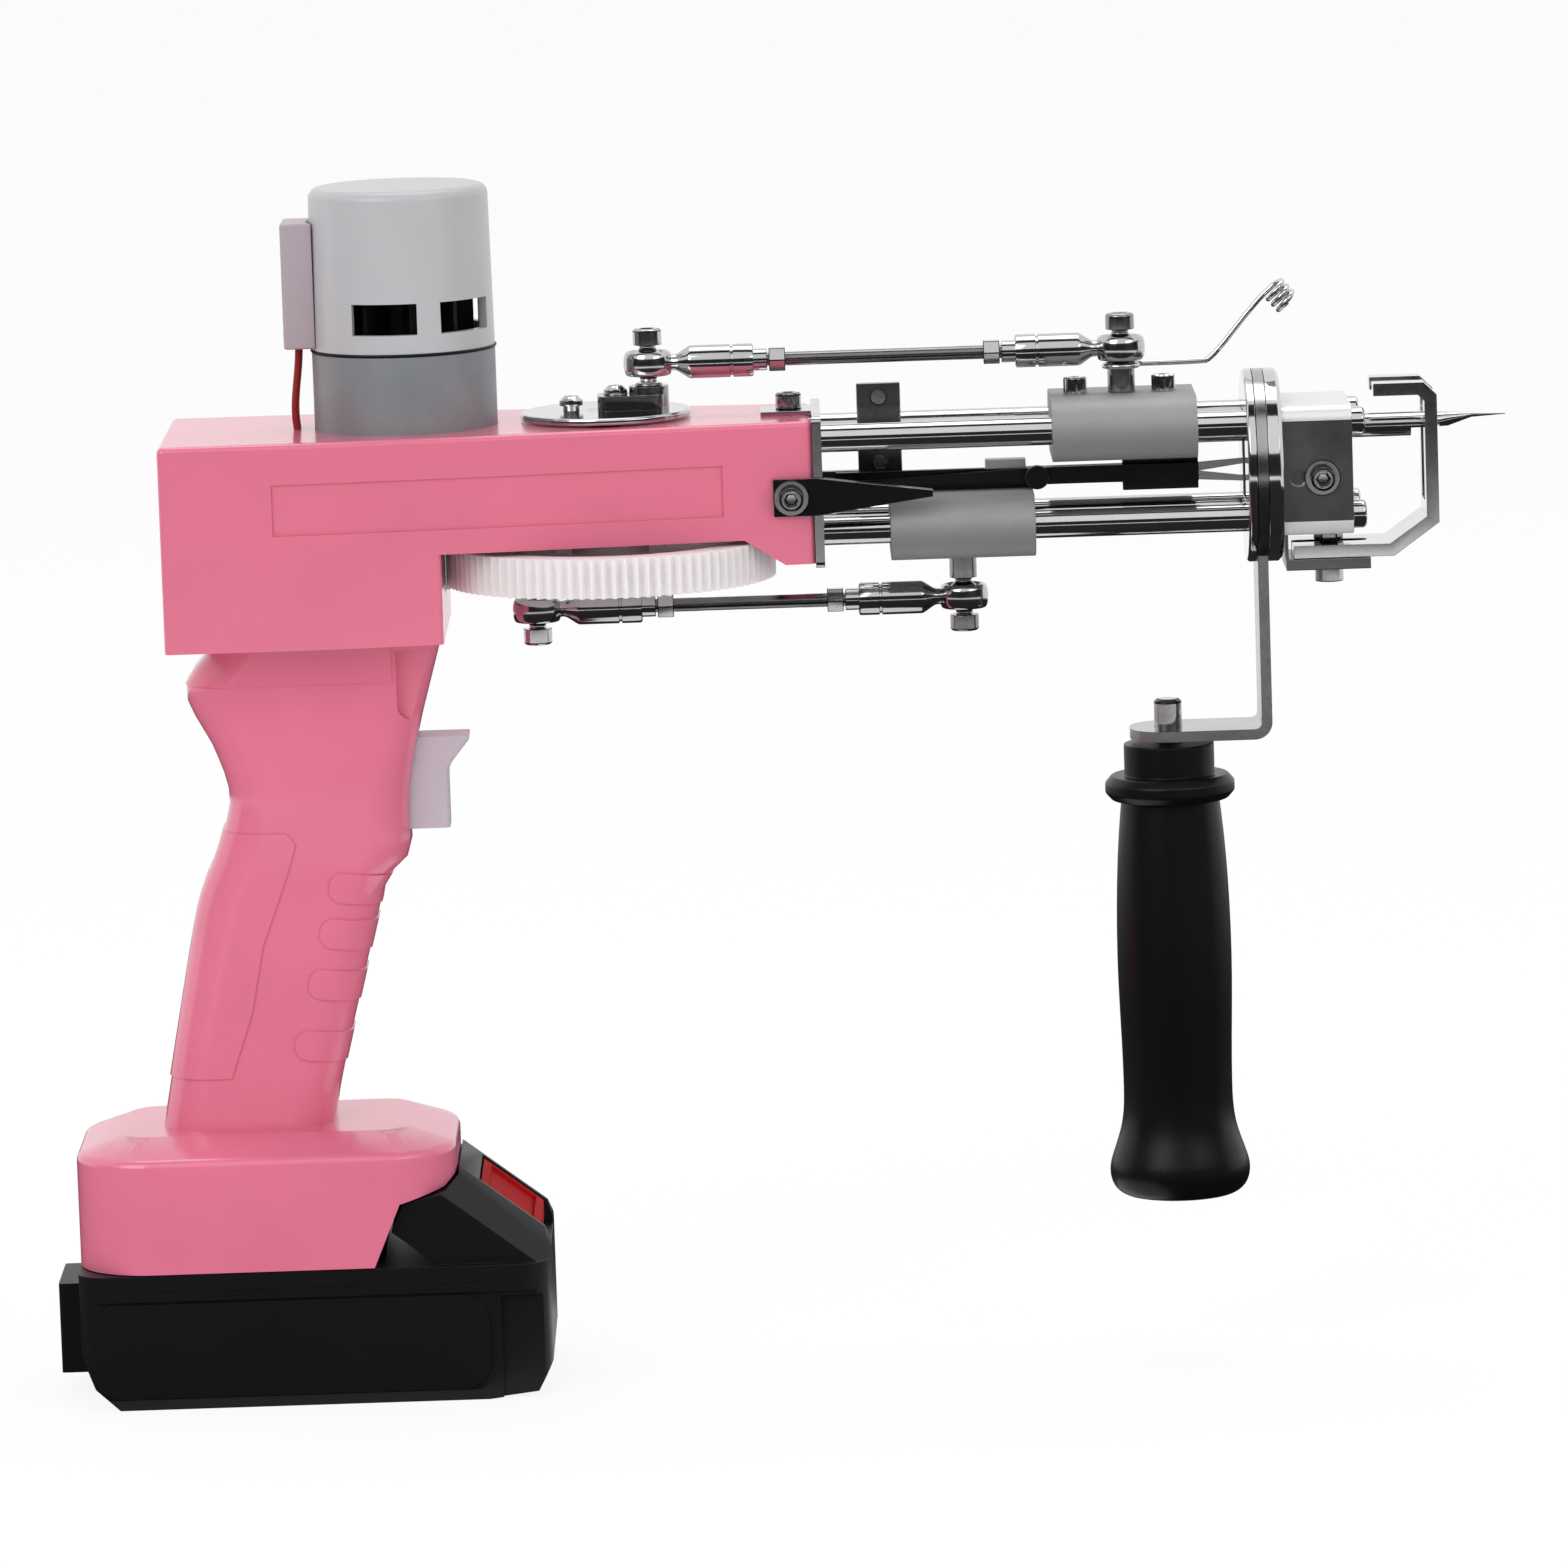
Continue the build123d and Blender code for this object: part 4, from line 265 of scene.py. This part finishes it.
def soften(node, material, edge=0.0003, rim=None):
    """Give a CAD node its material and round its edges. A bright rim material leaves the edges
    bare and bright, and a black one paints a line of shade along them.
    """
    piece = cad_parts[node]
    bpy.ops.object.select_all(action="DESELECT")
    bpy.context.view_layer.objects.active = piece
    piece.select_set(True)
    if piece.data.has_custom_normals:
        bpy.ops.mesh.customdata_custom_splitnormals_clear()
    piece.data.polygons.foreach_set("use_smooth", [True] * len(piece.data.polygons))
    piece.data.materials.clear()
    piece.data.materials.append(material)
    weld = piece.modifiers.new("weld", "WELD")
    weld.merge_threshold = weld_gap
    flat = piece.modifiers.new("flat", "DECIMATE")
    flat.decimate_type = "DISSOLVE"
    flat.angle_limit = flat_angle
    if edge > 0:
        bevel = piece.modifiers.new("bevel", "BEVEL")
        bevel.width = edge
        bevel.segments = 2
        bevel.limit_method = "ANGLE"
        bevel.angle_limit = edge_angle
        bevel.use_clamp_overlap = True
        if rim:
            piece.data.materials.append(rim)
            bevel.material = 1
    split = piece.modifiers.new("split", "EDGE_SPLIT")
    split.split_angle = split_angle
    split.use_edge_sharp = False
    even = piece.modifiers.new("even", "WEIGHTED_NORMAL")
    even.keep_sharp = True
    piece.select_set(False)


pink_plastic = moulded("pink_plastic", (0.74, 0.165, 0.262), 0.25, relief=0.006, drift=0.04, coat=0.5)
soften("gear_housing", pink_plastic, edge=0.0005)

# Motor: lacquered grey can of drawn steel, with the magnets, the wound armature, the shaft and its
# pinion in it. A plain steel plate inside the housing carries it.


def machined(
    name, colour, roughness, stretch=(1, 1, 1), grain=2200.0, relief=0.02, drift=0.08, metallic=1.0,
):
    """Metal with the fine lines that a tool or a brush leaves, drawn out along one way."""
    material = bpy.data.materials.new(name)
    material.use_nodes = True
    tree = material.node_tree
    tree.nodes["Principled BSDF"].inputs["Metallic"].default_value = metallic
    drifting_colour(tree, colour, drift, scale=60.0)
    place = tree.nodes.new("ShaderNodeTexCoord")
    drawn = tree.nodes.new("ShaderNodeMapping")
    drawn.inputs["Scale"].default_value = stretch
    tree.links.new(place.outputs["Object"], drawn.inputs["Vector"])
    fine_grain(
        tree, drawn.outputs["Vector"], grain, detail=4.0, roughness=roughness, spread=0.3,
        relief=relief, depth=0.0001,
    )
    return material


can_steel = machined(
    "motor_steel", (0.285, 0.305, 0.32), 0.52, stretch=(0.05, 0.05, 1.0), metallic=0.45,
)
plain_steel = machined("steel", (0.5, 0.5, 0.51), 0.15, grain=500.0, relief=0.003)
black_steel = machined("dark_steel", (0.03, 0.03, 0.033), 0.34)
winding = machined("copper", (0.55, 0.24, 0.1), 0.35, stretch=(1, 1, 0.1), relief=0.3)
soften("motor_plate", plain_steel)
soften("motor_can", can_steel, edge=0.0004)
soften("motor_magnets", black_steel)
soften("motor_shaft", plain_steel, edge=0.0002)
soften("motor_armature", winding)
soften("motor_pinion", plain_steel, edge=0.0)

# Motor end cap: silver-white moulded cap with vent windows, the black fan behind them, and on the
# cap's rear side the clipped-on cover of the terminals.
cap_plastic = moulded("cap_plastic", (0.49, 0.49, 0.51), 0.36, drift=0.04, coat=0.15)
cover_plastic = moulded("cover_plastic", (0.43, 0.36, 0.4), 0.4, drift=0.04, coat=0.1)
black_plastic = moulded("black_plastic", (0.007, 0.007, 0.008), 0.42, grain=1400.0, relief=0.08)
black_plastic.node_tree.nodes["Principled BSDF"].inputs["Specular IOR Level"].default_value = 0.2
soften("motor_end_cap", cap_plastic, edge=0.001)
soften("terminal_cover", cover_plastic, edge=0.0008)
soften("cooling_fan", black_plastic, edge=0.0002)

# Seam: a thin black ring, as wide as the can, laid in the seam between the can and its end cap.
can_low, can_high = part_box("motor_can")
seam_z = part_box("motor_end_cap")[0].z
seam_ring_r = (can_high.y - can_low.y) / 2
seam_ring_wire_r = 0.00045
bpy.ops.object.select_all(action="DESELECT")
bpy.ops.mesh.primitive_torus_add(
    major_radius=seam_ring_r, minor_radius=seam_ring_wire_r, major_segments=96, minor_segments=10,
    location=((can_low.x + can_high.x) / 2, (can_low.y + can_high.y) / 2, seam_z),
)
seam_ring = bpy.context.object
seam_ring.name = "motor_seam_ring"
bpy.ops.object.shade_smooth()
bpy.ops.object.transform_apply(location=True, rotation=False, scale=False)
seam_ring.data.materials.append(black_plastic)
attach(seam_ring, "frame")

# Motor leads: one red and one black, soft insulated wire that bows out between the terminal cover
# and the hole in the housing.
lead_low, lead_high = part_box("motor_leads")
lead_r = 0.00105
lead_bow = 0.0014
lead_paints = (
    ("red_lead", (0.3, 0.008, 0.008), -1),
    ("black_lead", (0.012, 0.012, 0.013), 1),
)
for name, colour, way in lead_paints:
    side_y = way * (lead_high.y - lead_r)
    bpy.ops.curve.primitive_bezier_curve_add()
    lead = bpy.context.object
    lead.name = name
    top = Vector((lead_high.x - lead_r, side_y, lead_high.z))
    low = Vector((lead_low.x + lead_r, side_y, lead_low.z))
    third = (top.z - low.z) / 3
    points = lead.data.splines[0].bezier_points
    points[0].co = top
    points[0].handle_left = top + Vector((0, 0, third))
    points[0].handle_right = top - Vector((-lead_bow, 0, third))
    points[1].co = low
    points[1].handle_left = low + Vector((-lead_bow, 0, third))
    points[1].handle_right = low - Vector((0, 0, third))
    lead.data.bevel_depth = lead_r
    lead.data.bevel_resolution = 6
    lead.data.resolution_u = 24
    lead.data.use_fill_caps = True
    bpy.ops.object.select_all(action="DESELECT")
    lead.select_set(True)
    bpy.context.view_layer.objects.active = lead
    bpy.ops.object.convert(target="MESH")
    lead = bpy.context.object
    lead.data.materials.clear()
    lead.data.materials.append(moulded(name, colour, 0.4, relief=0.1))
    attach(lead, "frame")
    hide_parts("motor_leads")

# Drive gear: milky nylon wheel of ninety-two teeth on the crank shaft, in mesh with the steel
# pinion of the motor.
nylon = moulded("nylon", (0.87, 0.83, 0.835), 0.46, drift=0.02)
nylon_shader = nylon.node_tree.nodes["Principled BSDF"]
nylon_shader.inputs["Subsurface Weight"].default_value = 0.7
nylon_shader.inputs["Subsurface Radius"].default_value = (0.9, 0.8, 0.8)
nylon_shader.inputs["Subsurface Scale"].default_value = 0.007
soften("drive_gear", nylon, edge=0.0)

# Crank: steel shaft in two bearings, the polished disc on top of the housing, the slotted block
# clamped on it with two pan screws, and the studs that carry the rods' ball joints.
dark_chrome = machined("dark_chrome", (0.3, 0.3, 0.31), 0.16, grain=700.0, relief=0.01)
nickel = machined("nickel", (0.52, 0.52, 0.52), 0.11, grain=900.0, relief=0.004, drift=0.04)
soften("crank_shaft", plain_steel)
soften("crank_disc", nickel, edge=0.0004)
soften("crank_bearings", plain_steel, edge=0.0002)
soften("crank_block", dark_chrome)
# The screws' rounded edges are black steel: a painted shade line round their heads.
soften("crank_screws", nickel, edge=0.0003, rim=black_steel)
soften("crank_studs", dark_chrome, edge=0.0003)

# Front plate and guide rods: sawn steel plate that closes the housing's arm, and four bars of hard
# chromed steel that stand in it and reach to the head.
chrome = machined("chrome", (0.61, 0.61, 0.615), 0.09, grain=900.0, relief=0.004, drift=0.04)
soften("front_plate", plain_steel)
soften("guide_rods", chrome, edge=0.0003)

# Wedge plate and tail bracket: blackened folded sheet at the side of the arm and between the upper
# rods, held with plain steel screws. The handle's screws are alike and in the same node.
grey_steel = machined("grey_steel", (0.12, 0.12, 0.125), 0.3, grain=900.0, relief=0.03)
soften("wedge_plate", black_steel, edge=0.0004, rim=chrome)
soften("tail_bracket", grey_steel, edge=0.0003, rim=plain_steel)
# The screws' rounded edges are black steel: a painted shade line round their heads.
soften("housing_screws", plain_steel, edge=0.0004, rim=black_steel)

# Carriages: two slides sawn from round-edged aluminium bar, blasted and anodised, each with a ball
# stud. Two fluted socket screws on the upper one clamp the needle.
satin = machined(
    "satin_aluminium", (0.34, 0.34, 0.35), 0.62, grain=1600.0, relief=0.1, drift=0.03, metallic=0.6,
)
soften("needle_carriage", satin, edge=0.0004)
soften("scissor_carriage", satin, edge=0.0004)
soften("needle_ball_stud", dark_chrome, edge=0.0003)
soften("scissor_ball_stud", dark_chrome, edge=0.0003)
screws_low, screws_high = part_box("needle_set_screws")
screw_r = 0.0034
cad_head_height = 0.0026
head_height = 0.0044
screw_seat_z = screws_high.z - cad_head_height
flutes = 9
corners_per_flute = 4
screw_corners = flutes * corners_per_flute
flute_depth = 0.13
head_slope = screw_r * 0.14
head_slope_rise = 0.0003
socket_rim = screw_r * 0.3
socket_wall = 0.00005
socket_depth = 0.0022
screw_edge = 0.00012
screw_edge_angle = math.radians(50)
screw_crease = math.radians(20)
level_face = 0.9


def joined(parts, name):
    """Join the parts into one piece of this name."""
    bpy.ops.object.select_all(action="DESELECT")
    for part in parts:
        part.select_set(True)
    bpy.context.view_layer.objects.active = parts[0]
    bpy.ops.object.join()
    piece = bpy.context.object
    piece.name = name
    return piece


def copied(pattern, place, turn=0.0):
    """Copy a pattern that stands at the origin, with its own mesh, turned about Z and put in place."""
    bpy.ops.object.select_all(action="DESELECT")
    pattern.select_set(True)
    bpy.context.view_layer.objects.active = pattern
    bpy.ops.object.duplicate(linked=False)
    piece = bpy.context.object
    piece.rotation_euler.z = turn
    piece.location = place
    bpy.ops.object.transform_apply(location=True, rotation=True, scale=False)
    return piece


bpy.ops.object.select_all(action="DESELECT")
bpy.ops.mesh.primitive_cylinder_add(
    vertices=screw_corners, radius=screw_r, depth=head_height, location=(0, 0, head_height / 2),
)
screw = bpy.context.object
bpy.ops.object.transform_apply(location=True, rotation=False, scale=False)
bpy.ops.object.mode_set(mode="EDIT")
bpy.ops.mesh.select_all(action="DESELECT")
bpy.ops.object.mode_set(mode="OBJECT")
for corner in screw.data.vertices:
    way_round = math.atan2(corner.co.y, corner.co.x) / (2 * math.pi)
    corner.select = round(way_round * screw_corners) % corners_per_flute == 0
bpy.ops.object.mode_set(mode="EDIT")
bpy.ops.mesh.select_mode(type="VERT")
bpy.ops.transform.resize(value=(1 - flute_depth, 1 - flute_depth, 1), center_override=(0, 0, 0))
bpy.ops.mesh.select_mode(type="FACE")
bpy.ops.mesh.select_all(action="DESELECT")
bpy.ops.object.mode_set(mode="OBJECT")
for side in screw.data.polygons:
    side.select = side.normal.z > level_face
bpy.ops.object.mode_set(mode="EDIT")
bpy.ops.mesh.inset(thickness=head_slope, depth=head_slope_rise)
bpy.ops.mesh.inset(thickness=socket_rim, depth=0)
bpy.ops.mesh.inset(thickness=socket_wall, depth=-socket_depth)
bpy.ops.object.mode_set(mode="OBJECT")
chamfer = screw.modifiers.new("chamfer", "BEVEL")
chamfer.width = screw_edge
chamfer.segments = 2
chamfer.limit_method = "ANGLE"
chamfer.angle_limit = screw_edge_angle
bpy.ops.object.modifier_apply(modifier="chamfer")
bpy.ops.object.shade_smooth_by_angle(angle=screw_crease)
screw.data.materials.clear()
screw.data.materials.append(nickel)
rear_screw = copied(screw, (screws_low.x + screw_r, 0, screw_seat_z))
front_screw = copied(screw, (screws_high.x - screw_r, 0, screw_seat_z))
bpy.data.objects.remove(screw)
screws = joined([rear_screw, front_screw], "needle_clamp_screws")
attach(screws, "needle_slide")
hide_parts("needle_set_screws")

# Needle: steel tube with a long point, ground bright along its length and clamped in the upper
# carriage.
ground_steel = machined("bright_steel", (0.5, 0.5, 0.51), 0.13, stretch=(0.08, 1, 1))
soften("needle", ground_steel, edge=0.0001)

# Scissors: two blackened bars on a pivot screw, with ground blades at their tips. A pale clip is
# folded over the fixed bar, behind the needle carriage.
bar_top_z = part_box("fixed_scissor_bar")[1].z
clip_rear_x = 0.2015
clip_front_x = 0.213
clip_height = 0.0026
clip_margin = 0.0002


def pale_part_and_painted_highlight(material, mask, colour, metallic):
    """Mix in another colour and a lower metal share where the mask is 1: a pale part's own colour,
    and on the head block a painted highlight.
    """
    tree = material.node_tree
    shader = tree.nodes["Principled BSDF"]
    shade = tree.nodes.new("ShaderNodeMix")
    shade.data_type = "RGBA"
    shade.inputs[7].default_value = colour + (1,)
    tree.links.new(mask, shade.inputs[0])
    tree.links.new(shader.inputs["Base Color"].links[0].from_socket, shade.inputs[6])
    tree.links.new(shade.outputs[2], shader.inputs["Base Color"])
    sheen = tree.nodes.new("ShaderNodeMapRange")
    sheen.inputs["To Min"].default_value = 1.0
    sheen.inputs["To Max"].default_value = metallic
    tree.links.new(mask, sheen.inputs["Value"])
    tree.links.new(sheen.outputs["Result"], shader.inputs["Metallic"])


clipped_bar = machined("clipped_steel", (0.03, 0.03, 0.033), 0.34)
tree = clipped_bar.node_tree
place = tree.nodes.new("ShaderNodeTexCoord")
spot = tree.nodes.new("ShaderNodeSeparateXYZ")
tree.links.new(place.outputs["Object"], spot.inputs[0])
along_clip = tree.nodes.new("ShaderNodeMath")
along_clip.operation = "COMPARE"
along_clip.inputs[1].default_value = (clip_rear_x + clip_front_x) / 2
along_clip.inputs[2].default_value = (clip_front_x - clip_rear_x) / 2 + clip_margin
tree.links.new(spot.outputs["X"], along_clip.inputs[0])
above_bar = tree.nodes.new("ShaderNodeMath")
above_bar.operation = "GREATER_THAN"
above_bar.inputs[1].default_value = bar_top_z - clip_height
tree.links.new(spot.outputs["Z"], above_bar.inputs[0])
on_clip = tree.nodes.new("ShaderNodeMath")
on_clip.operation = "MULTIPLY"
tree.links.new(along_clip.outputs[0], on_clip.inputs[0])
tree.links.new(above_bar.outputs[0], on_clip.inputs[1])
pale_part_and_painted_highlight(clipped_bar, on_clip.outputs[0], (0.42, 0.42, 0.42), metallic=0.2)
soften("fixed_scissor_bar", clipped_bar, edge=0.0002)
soften("moving_scissor_bar", black_steel, edge=0.0002)
soften("scissor_pivot", black_steel, edge=0.0002, rim=grey_steel)
soften("fixed_blade", ground_steel, edge=0.0)
soften("moving_blade", ground_steel, edge=0.0)

# Head: two chromed flanges and a dark cast block that hold the rods' front ends, with a clamp
# plate below. Bands along the block's top and its bottom are a painted highlight, in a paler and
# less metallic colour.
cast_steel = machined("cast_steel", (0.34, 0.34, 0.33), 0.3, grain=420.0, relief=0.08, drift=0.15)
head_low, head_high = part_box("head_block")
# Painted highlight: how far it reaches down from the block's top and up from its bottom.
painted_highlight_band = 0.0042
head_cast_and_highlight = machined("head_casting_and_painted_highlight", (0.2, 0.2, 0.19), 0.34, grain=420.0, relief=0.25, drift=0.3)
tree = head_cast_and_highlight.node_tree
place = tree.nodes.new("ShaderNodeTexCoord")
height = tree.nodes.new("ShaderNodeSeparateXYZ")
tree.links.new(place.outputs["Object"], height.inputs[0])
middle = tree.nodes.new("ShaderNodeMath")
middle.operation = "SUBTRACT"
middle.inputs[1].default_value = (head_low.z + head_high.z) / 2
tree.links.new(height.outputs["Z"], middle.inputs[0])
away = tree.nodes.new("ShaderNodeMath")
away.operation = "ABSOLUTE"
tree.links.new(middle.outputs[0], away.inputs[0])
painted_highlight_mask = tree.nodes.new("ShaderNodeMath")
painted_highlight_mask.operation = "GREATER_THAN"
painted_highlight_mask.inputs[1].default_value = (head_high.z - head_low.z) / 2 - painted_highlight_band
tree.links.new(away.outputs[0], painted_highlight_mask.inputs[0])
# Painted highlight: paler, less metallic colour in the bands along the block's top and bottom.
pale_part_and_painted_highlight(head_cast_and_highlight, painted_highlight_mask.outputs[0], (0.8, 0.8, 0.79), metallic=0.35)
soften("rear_flange", chrome, edge=0.0004)
soften("front_flange", chrome, edge=0.0004)
soften("head_block", head_cast_and_highlight, edge=0.0007, rim=chrome)
soften("clamp_plate", cast_steel)

# Presser foot: flat steel bar bent round the needle and split into a fork, chromed, and held under
# the head by the clamp plate.
soften("presser_foot", chrome, edge=0.0012)

# Side handle: strap bent from flat steel bar and clamped round the head, its bolt, and the moulded
# rubber grip pushed on it.
strap_steel = machined("strap_steel", (0.4, 0.4, 0.41), 0.22, grain=700.0, relief=0.01)
black_rubber = moulded("black_rubber", (0.003, 0.003, 0.003), 0.34, grain=1100.0, relief=0.05)
black_rubber.node_tree.nodes["Principled BSDF"].inputs["Specular IOR Level"].default_value = 0.25
# The strap's and the bolt's rounded edges are black steel: a painted shade line along them.
soften("handle_strap", strap_steel, edge=0.0007, rim=black_steel)
soften("grip_bolt", plain_steel, edge=0.0005, rim=black_steel)
soften("rubber_grip", black_rubber, edge=0.0004)

# Rod ends: ball joint of polished steel, a forged eye and, turned in one with it along X, the neck
# and the sleeve with a groove near its end. Each connecting rod has one at either end.
eye_outer_r = 0.007
eye_inner_r = 0.00483
eye_wire_r = (eye_outer_r - eye_inner_r) / 2
eye_half_height = 0.0034
sleeve_profile = (
    (0.0054, 0.0022), (0.0078, 0.0023), (0.0086, 0.0026), (0.0113, 0.0044), (0.0118, 0.00462),
    (0.0122, 0.0047), (0.0233, 0.0047), (0.0235, 0.0042), (0.0240, 0.0042), (0.0242, 0.0047),
    (0.0294, 0.0047), (0.0298, 0.0045), (0.0300, 0.0041), (0.0300, 0.0031),
    (0.0336, 0.0031), (0.0338, 0.0029), (0.0338, 0.0019),
)
sleeve_crease = math.radians(28)
bpy.ops.object.select_all(action="DESELECT")
bpy.ops.mesh.primitive_torus_add(
    major_radius=(eye_outer_r + eye_inner_r) / 2, minor_radius=eye_wire_r,
    major_segments=72, minor_segments=24,
)
eye = bpy.context.object
eye.scale = (1, 1, eye_half_height / eye_wire_r)
bpy.ops.object.transform_apply(location=False, rotation=False, scale=True)
bpy.ops.object.select_all(action="DESELECT")
x, r = sleeve_profile[0]
bpy.ops.mesh.primitive_circle_add(
    vertices=56, radius=r, fill_type="NGON", location=(x, 0, 0), rotation=(0, math.pi / 2, 0),
)
sleeve = bpy.context.object
bpy.ops.object.transform_apply(location=True, rotation=True, scale=False)
bpy.ops.object.mode_set(mode="EDIT")
bpy.ops.mesh.select_all(action="SELECT")
for next_x, next_r in sleeve_profile[1:]:
    bpy.ops.mesh.extrude_region_move(TRANSFORM_OT_translate={"value": (next_x - x, 0, 0)})
    bpy.ops.transform.resize(value=(1, next_r / r, next_r / r), center_override=(next_x, 0, 0))
    x = next_x
    r = next_r
bpy.ops.mesh.select_all(action="SELECT")
bpy.ops.mesh.normals_make_consistent(inside=False)
bpy.ops.object.mode_set(mode="OBJECT")
rod_end = joined([eye, sleeve], "rod_end")
bpy.ops.object.shade_smooth_by_angle(angle=sleeve_crease)
rod_end.data.materials.clear()
rod_end.data.materials.append(nickel)

# Rolled thread on the rods: the outline of one ridge, turned like a screw along X and closed at
# both its ends.
rod_steel = machined("rod_steel", (0.2, 0.2, 0.2), 0.22, stretch=(0.05, 1, 1), relief=0.02)
thread_r = 0.0018
thread_crest = 0.0003
thread_pitch = 0.0007
thread_turns = 10
thread_steps = 24
thread_length = thread_pitch * (thread_turns + 1)
bpy.ops.object.select_all(action="DESELECT")
bpy.ops.mesh.primitive_circle_add(
    vertices=3, radius=thread_crest, location=(0, 0, thread_r), rotation=(math.pi / 2, 0, 0),
)
rolled_thread = bpy.context.object
bpy.ops.object.transform_apply(location=True, rotation=True, scale=False)
turned = rolled_thread.modifiers.new("turned", "SCREW")
turned.axis = "X"
turned.angle = 2 * math.pi
turned.screw_offset = thread_pitch
turned.iterations = thread_turns
turned.steps = thread_steps
turned.render_steps = thread_steps
turned.use_merge_vertices = True
turned.merge_threshold = thread_pitch / 100
bpy.ops.object.modifier_apply(modifier="turned")
bpy.ops.object.mode_set(mode="EDIT")
bpy.ops.mesh.select_all(action="SELECT")
bpy.ops.mesh.fill_holes(sides=3)
bpy.ops.mesh.select_all(action="SELECT")
bpy.ops.mesh.normals_make_consistent(inside=False)
bpy.ops.object.mode_set(mode="OBJECT")
rolled_thread.data.materials.append(rod_steel)

# Upper and lower rod, put together on the carriages' studs: the rod ends, the balls in them, the
# locknuts, and the thread where the rod runs into each nut.
nut_length = 0.0046
for rod in ("upper", "lower"):
    end_low, end_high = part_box(f"{rod}_rod_ends")
    end_z = (end_low.z + end_high.z) / 2
    rear_end = copied(rod_end, (end_low.x + eye_outer_r, 0, end_z))
    front_end = copied(rod_end, (end_high.x - eye_outer_r, 0, end_z), turn=math.pi)
    ends = joined([rear_end, front_end], f"{rod}_rod_end_bodies")
    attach(ends, f"{rod}_link")
    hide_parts(f"{rod}_rod_ends")
    # The locknuts' and the balls' rounded edges are black steel: a painted shade line along them.
    soften(f"{rod}_rod_locknuts", nickel, edge=0.0003, rim=black_steel)
    soften(f"{rod}_rod", rod_steel, edge=0.0)
    soften(f"{rod}_rod_ball", nickel, edge=0.0003, rim=black_steel)
    nut_low, nut_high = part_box(f"{rod}_rod_locknuts")
    rod_low, rod_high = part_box(f"{rod}_rod")
    starts = (
        ("rear", nut_low.x + nut_length + thread_pitch),
        ("front", nut_high.x - nut_length - thread_length + thread_pitch),
    )
    for side, start_x in starts:
        thread = copied(rolled_thread, (start_x, 0, (rod_low.z + rod_high.z) / 2))
        thread.name = f"{rod}_rod_thread_{side}"
        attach(thread, f"{rod}_link")
for pattern in (rod_end, rolled_thread):
    bpy.data.objects.remove(pattern)

# Yarn guide: spring wire looped round the ball stud, bent up over the head and wound to an eye of
# three turns that the yarn runs through.
wire_r = 0.0008
wire_z = 0.2854
stud_x = 0.2408
stud_r = 0.0039
bend_x = 0.266
eye_x = 0.2865
eye_z = 0.3038
eye_r = 0.0032
eye_turns = 3
eye_pitch = 0.0021
turn_points = 14
rise = math.atan2(eye_z - wire_z, eye_x - bend_x)
along = Vector((math.cos(rise), 0, math.sin(rise)))
across = Vector((math.sin(rise), 0, -math.cos(rise)))
coil_start = Vector((eye_x, 0, eye_z)) - across * eye_turns * eye_pitch / 2
route = [
    Vector((stud_x + eye_r, eye_r, wire_z)),
    Vector((bend_x - 3 * wire_r, eye_r, wire_z)),
    Vector((bend_x, eye_r, wire_z)) + along * wire_r,
    coil_start + Vector((0, eye_r, 0)) - along * 2 * eye_r,
]
for i in range(eye_turns * turn_points + 1):
    swing = 2 * math.pi * i / turn_points
    step = across * eye_pitch * i / turn_points
    ring_spot = Vector((0, eye_r * math.cos(swing), 0)) + along * eye_r * math.sin(swing)
    route.append(coil_start + ring_spot + step)
bpy.ops.object.select_all(action="DESELECT")
bpy.ops.curve.primitive_nurbs_path_add()
wire = bpy.context.object
spline = wire.data.splines[0]
spline.points.add(len(route) - len(spline.points))
for point, spot in zip(spline.points, route):
    point.co = (*spot, 1)
spline.order_u = 3
spline.use_endpoint_u = True
spline.resolution_u = 6
wire.data.bevel_depth = wire_r
wire.data.bevel_resolution = 5
wire.data.use_fill_caps = True
bpy.ops.object.convert(target="MESH")
wire = bpy.context.object
bpy.ops.mesh.primitive_torus_add(
    major_radius=stud_r + wire_r, minor_radius=wire_r, major_segments=48, minor_segments=12,
    location=(stud_x, 0, wire_z),
)
loop = bpy.context.object
bpy.ops.object.transform_apply(location=True, rotation=False, scale=False)
wire = joined([wire, loop], "yarn_guide_wire")
bpy.ops.object.shade_smooth()
wire.data.materials.clear()
wire.data.materials.append(chrome)
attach(wire, "needle_slide")
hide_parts("yarn_guide")

# Pistol grip: two halves moulded in pink ABS and screwed together, with finger pads, a palm panel
# and the foot for the battery.
pink_handle = moulded("pink_handle", (0.78, 0.18, 0.288), 0.25, relief=0.006, drift=0.04, coat=0.5)
soften("left_handle", pink_handle, edge=0.0004)
soften("right_handle", pink_handle, edge=0.0004)

# Trigger: pale lilac plastic button with a lip, in front of the sealed black switch that it
# presses. The contact block in the foot takes the battery's current.
trigger_plastic = moulded("trigger_plastic", (0.55, 0.47, 0.54), 0.4)
soften("trigger", trigger_plastic, edge=0.0006)
soften("trigger_switch", black_plastic)
soften("contact_block", black_plastic)

# Battery: black moulded pack with five wrapped cells in it, slid onto the foot from the front, and
# its red release button.
red_plastic = moulded("red_plastic", (0.4, 0.009, 0.01), 0.6)
red_plastic.node_tree.nodes["Principled BSDF"].inputs["Specular IOR Level"].default_value = 0.03
cell_wrap = moulded("cell_wrap", (0.1, 0.25, 0.12), 0.35)
soften("battery_lower_case", black_plastic, edge=0.0006)
soften("battery_upper_case", black_plastic, edge=0.0006)
soften("battery_cells", cell_wrap)
soften("release_button", red_plastic, edge=0.0004)
